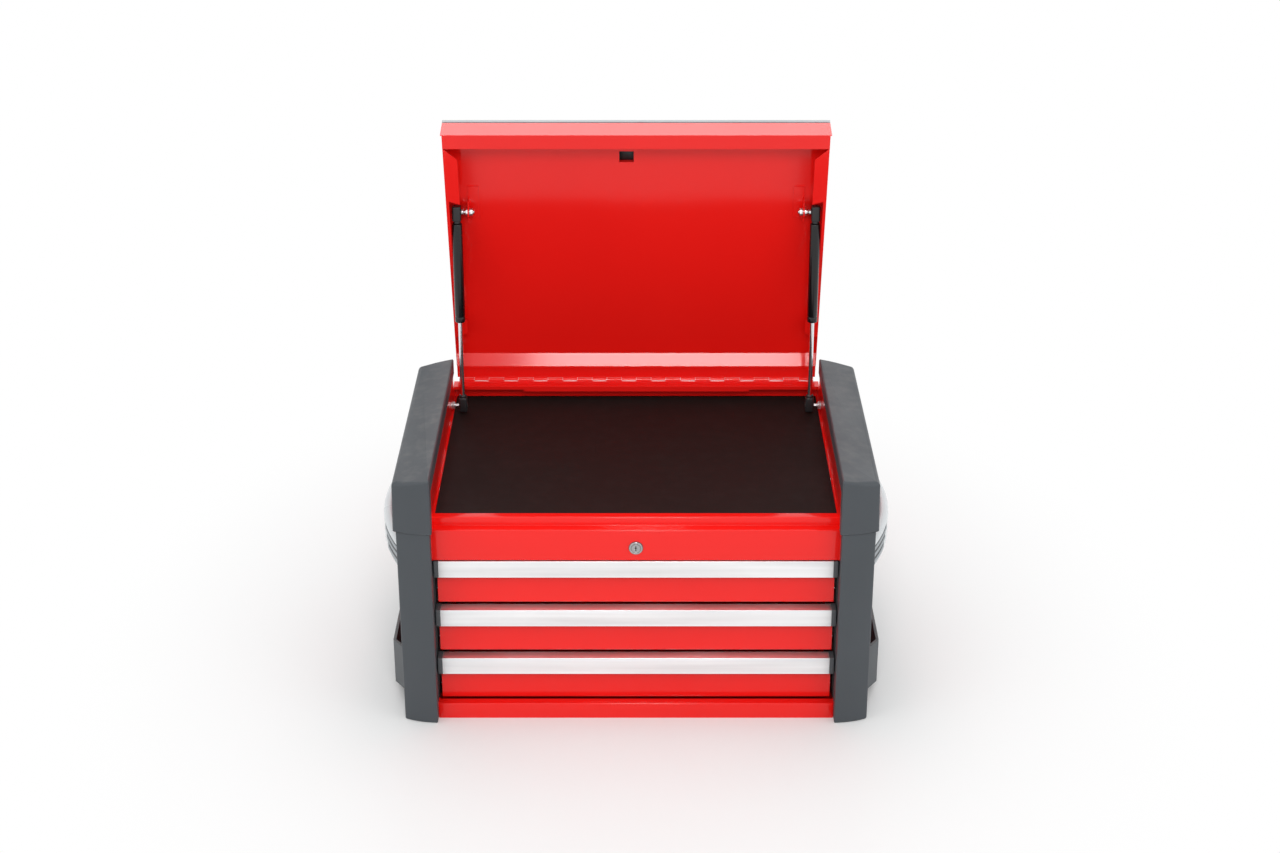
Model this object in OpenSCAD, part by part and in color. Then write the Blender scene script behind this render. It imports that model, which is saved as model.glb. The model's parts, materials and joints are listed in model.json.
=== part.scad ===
// Portable tool chest: three drawers under a lidded top compartment.
// Sizes are in millimetres. The front faces -Y, +X is the right side, +Z is up, and the
// chest stands on Z = 0 with its lid open, held by two gas struts.
// Depths count back from the front of the bumpers, which lies at Y = front_y.

/* [Cabinet] */
// Clear width between the two side panels
inner_w = 554; // [500:2:620]
// Thickness of the folded steel sheet
sheet = 1; // [0.8:0.1:1.2]
// Depth from the front of the bumpers to the pin of the lid hinge
hinge_depth = 449; // [430:1:500]
// Depth from the front of the bumpers to the front of the steel
front_inset = 16; // [14:0.5:20]
// Height of the rail under the drawers
rail_h = 24; // [16:0.5:40]
// Depth of the top face of that rail
rail_depth = 14; // [10:0.5:14]
// Height of the plain panel that holds the lock
fascia_h = 46.5; // [40:0.5:60]
// Depth of the finger ledge under the front edge of the lid
ledge_depth = 14.5; // [10:0.5:20]
// Height of the step behind that ledge
step_h = 12.5; // [8:0.5:20]
// Depth of the front lip of the top compartment
lip_depth = 13.5; // [10:0.5:20]
// Height from that lip up to the rear flange under the hinge
flange_rise = 20.2; // [18:0.2:30]
// Depth of the rear flange
flange_depth = 20.5; // [20:0.5:24]
// Height of the folded edge of the rear flange
flange_edge = 5; // [3:0.5:8]

/* [Drawers] */
// Height from one drawer to the next
drawer_pitch = 76.6; // [74:0.2:90]
// Gap under each drawer front
front_gap = 1.5; // [1:0.1:2]
// Depth from the front of the steel back to the drawer fronts
front_setback = 16; // [15.5:0.5:18]
// Gap between each end of a drawer front and the side panel
front_side = 4; // [2:0.5:5]
// Height of the painted front below its grip
front_h = 45; // [42:0.5:50]
// Height of the aluminium grip
grip_h = 25.3; // [20:0.1:26]
// Depth of the top of the grip
grip_depth = 21; // [19:0.5:24]
// Wall of the aluminium grip
grip_wall = 2; // [1.5:0.1:2.5]
// Width of the plastic cap on each end of a grip
grip_cap_w = 6.5; // [5:0.5:8]
// Length of a drawer box
drawer_l = 400; // [340:5:405]
// Height of the walls of a drawer box
drawer_wall_h = 54; // [45:1:56]
// Height of a drawer slide
slide_h = 35; // [30:1:40]
// Width that a drawer slide takes on each side
slide_w = 13; // [12.5:0.1:15]
// Length of a drawer slide
slide_l = 385; // [320:5:388]
// Height of the middle of a slide above the foot of its drawer
slide_z = 30; // [26:1:32]

/* [Lid] */
// Angle of the open lid, forward of upright
lid_lean = 11.5; // [5:0.5:15]
// Height of the lid's sheet above the hinge pin when it is closed
lid_rise = 14; // [12:0.5:18]
// Width of the lip along the front of the lid
front_lip = 22; // [18:0.5:26]
// Width of the lip along each side of the lid
side_lip = 20; // [18:0.5:24]
// Gap between the lid and each side panel
lid_gap = 4; // [3:0.5:6]
// Depth of the flat strip that takes the upper hinge leaf
strip_depth = 23.5; // [20:0.5:26]
// Thickness of the plastic cover on the lid
cover_t = 11; // [8:0.5:12]
// Width of the rib pitch inside the cover
cover_ribs = 90; // [60:5:120]
// Width of the square pocket in the lid
pocket_w = 20.6; // [16:0.2:24]
// Depth of that pocket behind the lid's sheet
pocket_depth = 6; // [4:0.5:7]

/* [Hinge] */
// Diameter of the hinge pin
pin_d = 4; // [3:0.1:4.5]
// Outer diameter of the hinge knuckles
knuckle_d = 6.5; // [6.5:0.1:7]
// Width of one knuckle, counting the gap beside it
knuckle_w = 22.5; // [20:0.5:22.5]
// Number of knuckles
knuckles = 24; // [16:2:24]
// Thickness of the hinge leaves
leaf_t = 1.1; // [0.8:0.1:1.2]
// Distance between two hinge rivets
rivet_pitch = 90; // [80:1:96]

/* [Gas struts] */
// Depth of the lower pivot in front of the hinge pin
pivot_back = 69.3; // [60:0.1:80]
// Height of the lower pivot below the hinge pin
pivot_drop = 12; // [11:0.1:12.5]
// Distance of the upper pivot from the hinge pin, along the lid
pivot_along = 296; // [270:1:300]
// Distance from the middle of a strut to its side panel
strut_inset = 17; // [16:0.5:19]
// Diameter of the strut's pressure tube
tube_d = 15; // [13:0.1:15]
// Length of that tube
tube_l = 152; // [140:1:160]
// Diameter of the strut's rod
rod_d = 6.5; // [5:0.1:7]
// Diameter of the end sockets
socket_d = 13; // [12:0.1:13]
// Length of an end socket beyond its pivot
socket_l = 17; // [15:0.5:20]
// Diameter of the ball stud heads
stud_d = 8; // [7:0.1:8.5]

/* [Bumpers] */
// Width of the cap on top of each side
cap_w = 52; // [50:0.5:56]
// Length of that cap, front to rear
cap_l = 420; // [400:1:424]
// Height from the front lip of the compartment to the top of the cap
cap_rise = 68.5; // [66:0.5:80]
// Fall of the top of the cap towards its outer edge
cap_fall = 7; // [3:0.5:10]
// Height of the front face of the cap
cap_face = 79; // [70:0.5:85]
// Height of the cap's outer skirt between its ends
cap_skirt = 36; // [28:0.5:40]
// Set-back of the outer corner of the cap
cap_setback = 12; // [8:0.5:14]
// Wall of the plastic mouldings
moulding = 3; // [2.5:0.1:3.5]
// Length of the foot of the cap over each corner post
post_l = 70; // [66:1:80]
// Width of a corner post
post_w = 47; // [44:0.5:48]
// Set-back of the outer edge of a corner post
post_setback = 11.5; // [8:0.5:13]

/* [Handles and side trays] */
// Reach of the side handles beyond the corner posts
handle_reach = 37.5; // [33:0.5:45]
// Height of a side handle
handle_h = 43; // [32:0.5:46]
// Thickness of a side handle
handle_t = 16; // [12:0.5:18]
// Height of the lower edge of the side handles
handle_z = 212; // [190:1:215]
// Reach of the side trays beyond the corner posts
tray_reach = 19.5; // [16:0.5:26]
// Height of a side tray
tray_h = 68.5; // [50:0.5:80]
// Height of the floor of the side trays
tray_z = 22; // [15:0.5:40]

/* [Lock] */
// Diameter of the lock's front ring
lock_d = 19; // [17:0.5:22]
// Diameter of the lock's barrel
barrel_d = 16; // [14:0.5:17]
// Diameter of the turning plug
plug_d = 12; // [10:0.5:12]
// Height of the lock above the lower edge of its panel
lock_rise = 19.5; // [18:0.5:22]
// Reach of the crank that lifts the locking bar
crank_reach = 14; // [12:0.5:16]
// Width of the locking bar
bar_w = 18; // [16:0.5:20]

/* [Hidden] */

$fn = 48;
red = "#d8261f";
dark_grey = "#53585c";
zinc = "#c4c8cc";
black = "#1d1e20";

// Clearances
running = 0.05;     // round a turning or sliding pin
sliding = 0.3;      // between flat sliding faces
play = 0.5;         // beside parts that pass each other

// The closed lid reaches forward to just behind the steel front
lid_l = hinge_depth - front_inset - sliding;
lid_tail = strip_depth + lid_rise + 1.5;        // where the lid's slope meets its flat sheet
cover_top = lid_rise + sheet + cover_t;         // cover's outer face, from the hinge plane
rear_reach = hinge_depth - sin(lid_lean) * lid_tail + cos(lid_lean) * cover_top;
front_y = -rear_reach / 2;

// Places from front to rear
steel_y = front_y + front_inset;
step_y = steel_y + ledge_depth;
lip_y = step_y + lip_depth;
pin_y = front_y + hinge_depth;
back_y = pin_y - knuckle_d / 2 - play;          // rear face of the back panel
back_in = back_y - sheet;
flange_y = back_y - flange_depth;
panel_y = steel_y + front_setback;              // front face of the drawer fronts
inner = inner_w / 2;

// Places from bottom to top
drawers = 3;
function drawer_z(n) = rail_h + front_gap + (drawers - n) * drawer_pitch;
front_top = front_h + grip_h - grip_wall;       // top edge of a drawer front, from its foot
fascia_z = drawer_z(1) + front_h + grip_h + 2.5;
lock_z = fascia_z + lock_rise;
ledge_z = fascia_z + fascia_h;
lip_z = ledge_z + step_h;
floor_z = lip_z - 4.4;                          // top of the compartment's steel floor
flange_z = lip_z + flange_rise;
leaf_gap = 0.3;                                 // from the pin's plane to each leaf
pin_z = flange_z + leaf_t + leaf_gap;
lid_drop = pin_z - lip_z - sliding;             // depth of the lid's front wall below the pin

// Bumpers
cap_x = inner - 1.5;                            // inner face of the cap
cap_z = lip_z + cap_rise;
cap_foot = cap_z - cap_face;
post_x = inner + sheet;
post_front = 1.5;                               // set-back of the posts behind the cap
side_x = post_x + post_w;                       // outer face of the posts
mid_y = front_y + cap_l / 2;
panel_top = cap_z - cap_fall - moulding - 1;

// Lid
lid_half = inner - lid_gap;
lip_slope = atan(lid_drop / lid_l);

// Gas struts
strut_x = inner - strut_inset;
pivot_y = pin_y - pivot_back;
pivot_z = pin_z - pivot_drop;
top_pivot_y = pin_y - sin(lid_lean) * pivot_along;
top_pivot_z = pin_z + cos(lid_lean) * pivot_along;
strut_l = norm([top_pivot_y - pivot_y, top_pivot_z - pivot_z]);
strut_turn = atan2(pivot_y - top_pivot_y, top_pivot_z - pivot_z);
tube_low = strut_l - socket_l - tube_l;         // lower end of the tube, from the lower pivot
guide_l = 8;                                    // length of the rod guide in the tube's end
piston_l = 6;
bracket_x = strut_x - socket_d / 2 - 11;        // middle of the bracket's upright plate
bracket_t = 2;

// Slides
slide_y = panel_y + 15;
rail_t = 1.2;                                   // sheet of the slides
box_half = inner - slide_w;                     // outer face of a drawer box

// ---------------------------------------------------------------- shapes that repeat

function unit(v) = v / norm(v);
function left_of(a, b) = let(d = unit(b - a)) [-d[1], d[0]];

// The point i of path p, moved t to the left of the path, with mitred corners
function shifted(p, i, t) =
    let(last = len(p) - 1,
        before = left_of(p[max(i - 1, 0)], p[max(i, 1)]),
        after = left_of(p[min(i, last - 1)], p[min(i + 1, last)]))
    p[i] + t * (before + after) / (1 + before * after);

// A strip of thickness t along the left of the path p
module folded(p, t = sheet)
    polygon(concat(p, [for (i = [len(p) - 1 : -1 : 0]) shifted(p, i, t)]));

// The corner b between a and c, rounded to radius r
function round_corner(a, b, c, r, steps = 5) =
    let(to_a = unit(a - b),
        to_c = unit(c - b),
        half = acos(to_a * to_c) / 2,
        centre = b + unit(to_a + to_c) * r / sin(half),
        start = b + to_a * r / tan(half) - centre,
        turn = (90 - half) * 2 * sign(to_c[0] * to_a[1] - to_c[1] * to_a[0]))
    [for (i = [0 : steps])
        let(w = turn * i / steps)
        centre + [start[0] * cos(w) - start[1] * sin(w), start[0] * sin(w) + start[1] * cos(w)]];

// The outline p with corner i rounded to radius r[i]
function rounded(p, r) =
    [for (i = [0 : len(p) - 1])
        each r[i] == 0 ? [p[i]]
            : round_corner(p[(i + len(p) - 1) % len(p)], p[i], p[(i + 1) % len(p)], r[i])];

// A profile in depth and height, drawn across the width w about the middle
module across(w) rotate([90, 0, 90]) linear_extrude(w, center = true) children();

// The same profile, from x on, w wide
module across_from(x, w) translate([x + w / 2, 0, 0]) across(w) children();

// A box from the low corner to the high corner
module block(low, high) translate(low) cube(high - low);

// Place children on the right side, or mirrored on the left one
module on_side(side) mirror([side < 0 ? 1 : 0, 0, 0]) children();

module both_sides() for (side = [-1, 1]) on_side(side) children();

// The lid's own frame: x across, y along the lid from the pin, z into the chest
module on_lid() translate([0, pin_y, pin_z]) rotate([90 + lid_lean, 0, 0]) children();

// A bar of diameter d along X, from x0 to x1
module bar_x(d, x0, x1) translate([x0, 0, 0]) rotate([0, 90, 0]) cylinder(d = d, h = x1 - x0);

// A bar of diameter d along Y, from y0 to y1
module bar_y(d, y0, y1) translate([0, y0, 0]) rotate([-90, 0, 0]) cylinder(d = d, h = y1 - y0);

// A six-sided nut along X, w across its flats
module nut_x(w, x0, x1)
    translate([x0, 0, 0]) rotate([0, 90, 0]) cylinder(d = w / cos(30), h = x1 - x0, $fn = 6);

// ---------------------------------------------------------------- steel cabinet

tray_screw_y = [front_y + cap_l * 0.25, mid_y, front_y + cap_l * 0.75];
tray_screw_z = tray_z + tray_h - 18;
screw_d = 5;

high_end = min(front_y + cap_l - moulding - play, back_in);     // of the part under the cap

module side_panel(side) color(red) on_side(side) difference() {
    across_from(inner, sheet) polygon([
        [steel_y + sheet, 0], [back_in, 0], [back_in, flange_z], [high_end, flange_z],
        [high_end, panel_top], [steel_y + sheet, panel_top], [steel_y + sheet, fascia_z],
        [panel_y + sheet, fascia_z], [panel_y + sheet, rail_h], [steel_y + sheet, rail_h]]);
    translate([0, pivot_y, pivot_z]) bar_x(stud_thread + 2 * running, inner - 1, inner + 2 * sheet);
    for (y = tray_screw_y)
        translate([0, y, tray_screw_z]) bar_x(screw_d + 2 * running, inner - 1, inner + 2 * sheet);
}

module back_panel() color(red) difference() {
    deep_half = 171;                            // the middle of the folded edge hangs lower
    union() {
        block([-inner - sheet, back_in, 0], [inner + sheet, back_y, flange_z]);
        across(inner_w) folded([[flange_y, flange_z - flange_edge], [flange_y, flange_z],
            [back_in, flange_z]], -sheet);
        block([-deep_half, flange_y, flange_z - flange_edge - 3],
            [deep_half, flange_y + sheet, flange_z - flange_edge]);
    }
    rivet_row() translate([0, pin_y - lower_rivet, flange_z - 2 * sheet])
        cylinder(d = rivet_d + 2 * running, h = 4 * sheet);
}

module bottom_panel() color(red)
    block([-inner, steel_y + sheet, 0], [inner, back_in, sheet]);

module bottom_rail() color(red)
    across(inner_w) folded([[steel_y, 0], [steel_y, rail_h], [steel_y + rail_depth, rail_h],
        [steel_y + rail_depth, rail_h - 8]], -sheet);

module front_fascia() color(red) difference() {
    union() {
        across(inner_w) folded([[steel_y + 13, fascia_z], [steel_y, fascia_z],
            [steel_y, ledge_z], [step_y, ledge_z], [step_y, lip_z], [lip_y, lip_z],
            [lip_y, floor_z]], -sheet);
        block([-inner - sheet, steel_y, fascia_z], [inner + sheet, steel_y + sheet, ledge_z]);
    }
    translate([0, 0, lock_z]) bar_y(barrel_d + 2 * running, steel_y - 1, steel_y + 2 * sheet);
}

module compartment_floor() color(red)
    block([-inner, step_y + sheet, floor_z - sheet], [inner, back_in, floor_z]);

module compartment_mat() color("#2b2523")
    block([-inner + 3, lip_y + 0.5, floor_z], [inner - 3, back_in - 3, floor_z + 2]);

// ---------------------------------------------------------------- bumpers

// Plan of a strip w wide and l long whose front is an arc, set back at the outer edge
module arc_front(w, l, setback) {
    r = (w * w + setback * setback) / (2 * setback);
    steps = 14;
    polygon(concat([for (i = [0 : steps]) let(x = w * i / steps) [x, r - sqrt(r * r - x * x)]],
        [[w, l], [0, l]]));
}

// Plan of the cap, inside its wall by the distance gap
module cap_plan(gap) {
    w = cap_w - gap;
    l = cap_l - 2 * gap;
    translate([0, gap]) arc_front(w, l / 2, cap_setback);
    translate([0, cap_l - gap]) mirror([0, 1]) arc_front(w, l / 2, cap_setback);
}

// Height of the top of the cap at x outwards from its inner face
function cap_top(x) = cap_z - cap_fall * x / cap_w;

module cap_profile(gap) polygon(rounded([
    [0, cap_foot - 1], [cap_w - gap, cap_foot - 1], [cap_w - gap, cap_top(cap_w) - gap],
    [0, cap_z - gap]], gap > 0 ? [0, 0, 3, 0] : [0, 0, 6, 2]));

// A solid with the cap's plan and cross-section
module cap_form(gap) intersection() {
    translate([0, 0, cap_foot]) linear_extrude(cap_face + 1) cap_plan(gap);
    translate([0, cap_l + 1, 0]) rotate([90, 0, 0]) linear_extrude(cap_l + 2) cap_profile(gap);
}

module bumper_cap(side) color(dark_grey) on_side(side) translate([cap_x, front_y, 0]) {
    wall_in = inner - cap_x;                    // the inner skirt stands inside the side panel
    skirt_z = cap_z - 21;
    slot = wall_in + sheet;
    difference() {
        cap_form(0);
        // hollow of the top, outside the inner skirt
        intersection() {
            cap_form(moulding);
            block([wall_in, 0, cap_foot - 1], [cap_w, cap_l, cap_z]);
        }
        // the inner skirt ends above the compartment, behind the steel front
        block([-1, front_inset, cap_foot - 1], [slot, cap_l + 1, skirt_z]);
        // room for the nut of the strut's stud
        translate([-cap_x, pivot_y - front_y, pivot_z])
            bar_x(stud_nut + 2 * play, inner, post_x + stud_nut);
        // between the feet only the skirts remain
        block([slot - 1, post_l + moulding, cap_foot - 1],
            [cap_w + 1, cap_l - post_l - moulding, cap_z - cap_fall - cap_skirt]);
    }
    // walls that close the two feet
    for (y = [post_l, cap_l - post_l - moulding])
        block([slot, y, cap_foot], [cap_w - moulding, y + moulding, cap_z - cap_fall - cap_skirt]);
}

module corner_posts(side) color(dark_grey) on_side(side) {
    front_post();
    translate([0, 2 * mid_y, 0]) mirror([0, 1, 0]) front_post();
}

module front_post() translate([post_x, front_y + post_front, 0]) difference() {
    post_plan_l = post_l - post_front;
    linear_extrude(cap_foot) arc_front(post_w, post_plan_l, post_setback);
    translate([moulding, moulding, moulding]) linear_extrude(cap_foot)
        arc_front(post_w - 2 * moulding, post_plan_l - 2 * moulding, post_setback);
    for (z = handle_screw_z)
        translate([0, handle_screw - post_front, z])
            bar_x(screw_d + 2 * running, post_w / 2, post_w + 1);
}

// ---------------------------------------------------------------- handles and side trays

handle_screw = 64;                              // screws, back from the front of the bumpers
handle_screw_z = [handle_z + 11, handle_z + handle_h - 11];
handle_half = cap_l / 2 - 52.5;                 // half length of a handle
handle_r = (handle_half * handle_half + handle_reach * handle_reach) / (2 * handle_reach);
handle_seat = 3;                                // plastic under the screw heads

// A bow of constant thickness whose two ends are cut flush with the posts
module side_handle(side) color("#d9dbdc") on_side(side) difference() {
    translate([side_x + handle_reach - handle_r, mid_y, 0])
        rotate([0, 0, -asin(handle_half / handle_r) - 1])
        rotate_extrude(angle = 2 * asin(handle_half / handle_r) + 2, $fn = 120)
        translate([handle_r - handle_t, handle_z])
        polygon(rounded([[0, 0], [handle_t, 0], [handle_t, handle_h], [0, handle_h]],
            [5, 7, 7, 5]));
    block([side_x - handle_t * 3, front_y, 0], [side_x, front_y + cap_l, cap_z]);
    for (end = [-1, 1], z = handle_screw_z)
        translate([0, mid_y + end * (cap_l / 2 - handle_screw), z]) {
            bar_x(screw_d + 2 * running, side_x - 1, side_x + handle_t);
            bar_x(screw_d * 2 + 1, side_x + handle_seat, side_x + handle_t);
        }
}

tray_hem = 1;                                   // the tray's walls reach below its floor by this

// Outer corners of a side tray, from front to rear
function tray_path() =
    let(x = side_x + tray_reach,
        tip = 51,
        chamfer = 28)
    [[side_x, front_y + tip], [x, front_y + tip + chamfer],
     [x, front_y + cap_l - tip - chamfer], [side_x, front_y + cap_l - tip]];

module side_tray(side) color(dark_grey) on_side(side) difference() {
    tray_sheet();
    for (y = tray_screw_y)
        translate([0, y, tray_screw_z]) bar_x(screw_d + 2 * running, post_x - 1, post_x + 2 * sheet);
}

module tray_sheet() {
    p = tray_path();
    front_end = front_y + post_l;
    rear_end = front_y + cap_l - post_l;
    translate([0, 0, tray_z]) {
        translate([0, 0, tray_hem]) linear_extrude(sheet) polygon(concat(p,
            [[side_x, rear_end], [post_x, rear_end], [post_x, front_end], [side_x, front_end]]));
        linear_extrude(tray_h) outside_posts() folded(p);
        linear_extrude(tray_h) translate([post_x, front_end]) square([sheet, rear_end - front_end]);
    }
    // rolled rim
    rim = 4;
    translate([0, 0, tray_z + tray_h - sheet]) linear_extrude(sheet) outside_posts() folded(p, rim);
}

module outside_posts() intersection() {
    translate([side_x, front_y]) square([tray_reach, cap_l]);
    children();
}

// A domed screw along X whose head rests on x and whose shank goes inwards by l
module side_screw(x, l) {
    translate([x, 0, 0]) rotate([0, 90, 0]) {
        cylinder(d1 = screw_d * 2, d2 = screw_d * 1.4, h = 2.2);
        translate([0, 0, -l]) cylinder(d = screw_d, h = l);
    }
}

module side_screws() color(zinc) both_sides() {
    for (end = [-1, 1], z = handle_screw_z)
        translate([0, mid_y + end * (cap_l / 2 - handle_screw), z])
            side_screw(side_x + handle_seat, handle_seat + moulding + 4);
    for (y = tray_screw_y)
        translate([0, y, tray_screw_z]) side_screw(post_x + sheet, 2 * sheet);
}

// ---------------------------------------------------------------- drawer slides

slide_fit = rail_t + sliding;
middle_h = slide_h - 2 * slide_fit;
inner_h = middle_h - 2 * slide_fit;

// A channel open towards the inside, d deep and h high, its back at x
module slide_rail(x, d, h)
    translate([0, slide_y + slide_l, 0]) rotate([90, 0, 0]) linear_extrude(slide_l)
        folded([[x - d, -h / 2], [x, -h / 2], [x, h / 2], [x - d, h / 2]], rail_t);

module cabinet_slides() color(zinc) both_sides() for (n = [1 : drawers])
    translate([0, 0, drawer_z(n) + slide_z])
        slide_rail(inner, slide_w - slide_fit - 1, slide_h);

module middle_slides(n) color(zinc) both_sides()
    translate([0, 0, drawer_z(n) + slide_z])
        slide_rail(inner - slide_fit, slide_w - 2 * slide_fit - 1, middle_h);

// The rail on the drawer is turned round, its back against the drawer's wall
module drawer_slides(n) color(zinc) both_sides()
    translate([2 * box_half, 0, drawer_z(n) + slide_z])
        mirror([1, 0, 0]) slide_rail(box_half, slide_w - 2 * slide_fit - sliding, inner_h);

// ---------------------------------------------------------------- drawers

module drawer_box(n) color(red) translate([0, 0, drawer_z(n)]) {
    foot = 3;                                   // floor of the box above the foot of the front
    wall_y = panel_y + sheet;
    rear = panel_y + drawer_l;
    difference() {
        block([-box_half, wall_y, foot], [box_half, rear, foot + drawer_wall_h]);
        block([-box_half + sheet, wall_y - 1, foot + sheet],
            [box_half - sheet, rear - sheet, foot + drawer_wall_h + 1]);
    }
    // the front and its folded side edges
    front_half = inner - front_side;
    edge = 10;
    block([-front_half, panel_y, 0], [front_half, wall_y, front_top]);
    both_sides() block([front_half - sheet, panel_y, 0], [front_half, panel_y + edge, front_h]);
    block([-front_half, panel_y, 0], [front_half, panel_y + edge, sheet]);
}

// The grip in depth and height from its lower front edge: it hooks over the drawer front
module grip_profile() {
    slot = front_setback - grip_front;          // the drawer front stands in this slot
    top = grip_h - grip_wall;
    leg = 1.6;
    fit = 0.2;
    polygon([[0, 0], [0, grip_h], [grip_depth, grip_h], [grip_depth, top],
        [slot + sheet + fit + leg, top], [slot + sheet + fit + leg, top - 10],
        [slot + sheet + fit, top - 10], [slot + sheet + fit, top], [slot - fit, top],
        [slot - fit, top - 8], [slot - fit - leg, top - 8], [slot - fit - leg, top],
        [grip_wall, top], [grip_wall, 2.5], [grip_wall + 2.5, 1.5], [grip_wall + 2.5, 0]]);
}

grip_front = 2;                                 // the grip stands behind the steel front by this

module drawer_grip(n) color("#eceeef")
    translate([0, steel_y + grip_front, drawer_z(n) + front_h])
        across(2 * (inner - play - grip_cap_w)) grip_profile();

module grip_caps(n) color(dark_grey) both_sides()
    translate([0, steel_y + grip_front, drawer_z(n) + front_h])
        across_from(inner - play - grip_cap_w, grip_cap_w) {
            slot = front_setback - grip_front;
            polygon([[0, 0], [slot - 0.2, 0], [slot - 0.2, grip_h - grip_wall],
                [grip_depth, grip_h - grip_wall], [grip_depth, grip_h], [0, grip_h]]);
        }

// ---------------------------------------------------------------- hinge

function knuckle_x(i) = (i - knuckles / 2) * knuckle_w + leaf_gap / 2;

// One leaf on its own side of the pin's plane, with the knuckles of the given parity:
// x across, y away from the pin, z from the pin's plane towards what carries the leaf
module hinge_leaf(parity, reach) difference() {
    half = knuckles * knuckle_w / 2;
    clear = knuckle_d / 2 + play;
    union() {
        block([-half, clear, leaf_gap], [half, reach, leaf_gap + leaf_t]);
        for (i = [parity : 2 : knuckles - 1]) {
            x = knuckle_x(i);
            w = knuckle_w - leaf_gap;
            block([x, 0, leaf_gap], [x + w, clear + 1, leaf_gap + leaf_t]);
            bar_x(knuckle_d, x, x + w);
        }
    }
    bar_x(pin_d + 2 * running, -half - 1, half + 1);
    rivet_row() translate([0, parity == 0 ? lower_rivet : upper_rivet, leaf_gap - 1])
        cylinder(d = rivet_d + 2 * running, h = leaf_t + 2);
}

rivet_d = 3.2;
lower_rivet = 12;                               // rows of rivets, from the pin
upper_rivet = 15;

module rivet_row() for (i = [-2.5 : 1 : 2.5]) translate([i * rivet_pitch, 0, 0]) children();

module hinge_leaf_lower() color(red) translate([0, pin_y, pin_z]) rotate([180, 0, 0])
    hinge_leaf(0, flange_depth + 1.5);

module hinge_leaf_upper() color(red) on_lid() mirror([0, 0, 1]) hinge_leaf(1, strip_depth - 1);

module hinge_pin() color(zinc) translate([0, pin_y, pin_z]) {
    half = knuckles * knuckle_w / 2;
    bar_x(pin_d, -half - 0.5, half + 0.5);
}

// A rivet from z = 0, the face under its flat head, down through l of sheet
module rivet(l) {
    cylinder(d = rivet_d * 2.2, h = 0.25);
    translate([0, 0, -l]) cylinder(d = rivet_d, h = l);
    translate([0, 0, -l - 1]) cylinder(d = rivet_d * 1.6, h = 1);
}

module cabinet_rivets() color(red)
    rivet_row() translate([0, pin_y - lower_rivet, pin_z - leaf_gap]) rivet(leaf_t + sheet);

module lid_rivets() color(red) on_lid() {
    rivet_row() translate([0, upper_rivet, -leaf_gap]) rivet(leaf_t + sheet);
}

// ---------------------------------------------------------------- lid

module lid_shell() color(red) on_lid() {
    inside = leaf_gap + leaf_t;                 // inner face of the strip under the leaf
    start = knuckle_d / 2 + play;
    outline = [[start, -inside - sheet], [strip_depth, -inside - sheet],
        [lid_tail, -lid_rise - sheet], [lid_l, -lid_rise - sheet]];
    front = [[lid_l, lid_drop], [lid_l - front_lip, lid_drop]];
    difference() {
        union() {
            across(2 * lid_half) folded(concat(outline, front));
            // the front wall and its lip are a little wider than the sides
            both_sides() across_from(lid_half, cap_x - play - lid_half)
                folded([outline[3], front[0]]);
            both_sides() across_from(lid_half - sheet, sheet) polygon(concat(outline,
                [front[0], [strip_depth + 4, lid_drop * (strip_depth + 4) / lid_l],
                [strip_depth, -inside], [start, -inside]]));
            both_sides() side_lip_plate();
            pocket() block([-pocket_wall, -pocket_wall, 0], [pocket_w + pocket_wall,
                pocket_l + pocket_wall, pocket_depth + pocket_wall]);
        }
        pocket() block([0, 0, -2 * sheet], [pocket_w, pocket_l, pocket_depth]);
        rivet_row() translate([0, upper_rivet, -inside - 2 * sheet])
            cylinder(d = rivet_d + 2 * running, h = 3 * sheet);
    }
}

// The lip along one side, tilted so that it meets the lip along the front
module side_lip_plate() {
    outer_x = lid_half - sheet / 2;
    inner_x = lid_half - side_lip;
    corner = 18;                                // length of the slanted ends
    front = (lid_l - front_lip - play) / cos(lip_slope);
    tail = 79;
    notch_x = strut_x + socket_d / 2 + 2;
    drift = 13;                                 // a socket's way past its pivot, half open
    notch_end = pivot_along + drift + socket_d / 2 + 7;
    notch_start = 112;
    inset = 0.1;                                // inside the edge of the side wall
    rotate([lip_slope, 0, 0]) translate([0, 0, -sheet - inset]) linear_extrude(sheet) polygon([
        [outer_x, tail], [inner_x, tail + corner / 2], [inner_x, notch_start],
        [notch_x, notch_start + 2], [notch_x, notch_end], [inner_x, notch_end - 5],
        [inner_x, front - corner], [outer_x, front]]);
}

pocket_wall = 0.8;
pocket_l = 17.5;
pocket_y = lid_l - 62.5;                          // near edge of the pocket, from the pin

// The pocket's own frame: z runs outwards from the lid's sheet
module pocket() translate([-pocket_w - 3.4, pocket_y, -lid_rise - sheet]) mirror([0, 0, 1])
    children();

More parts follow.
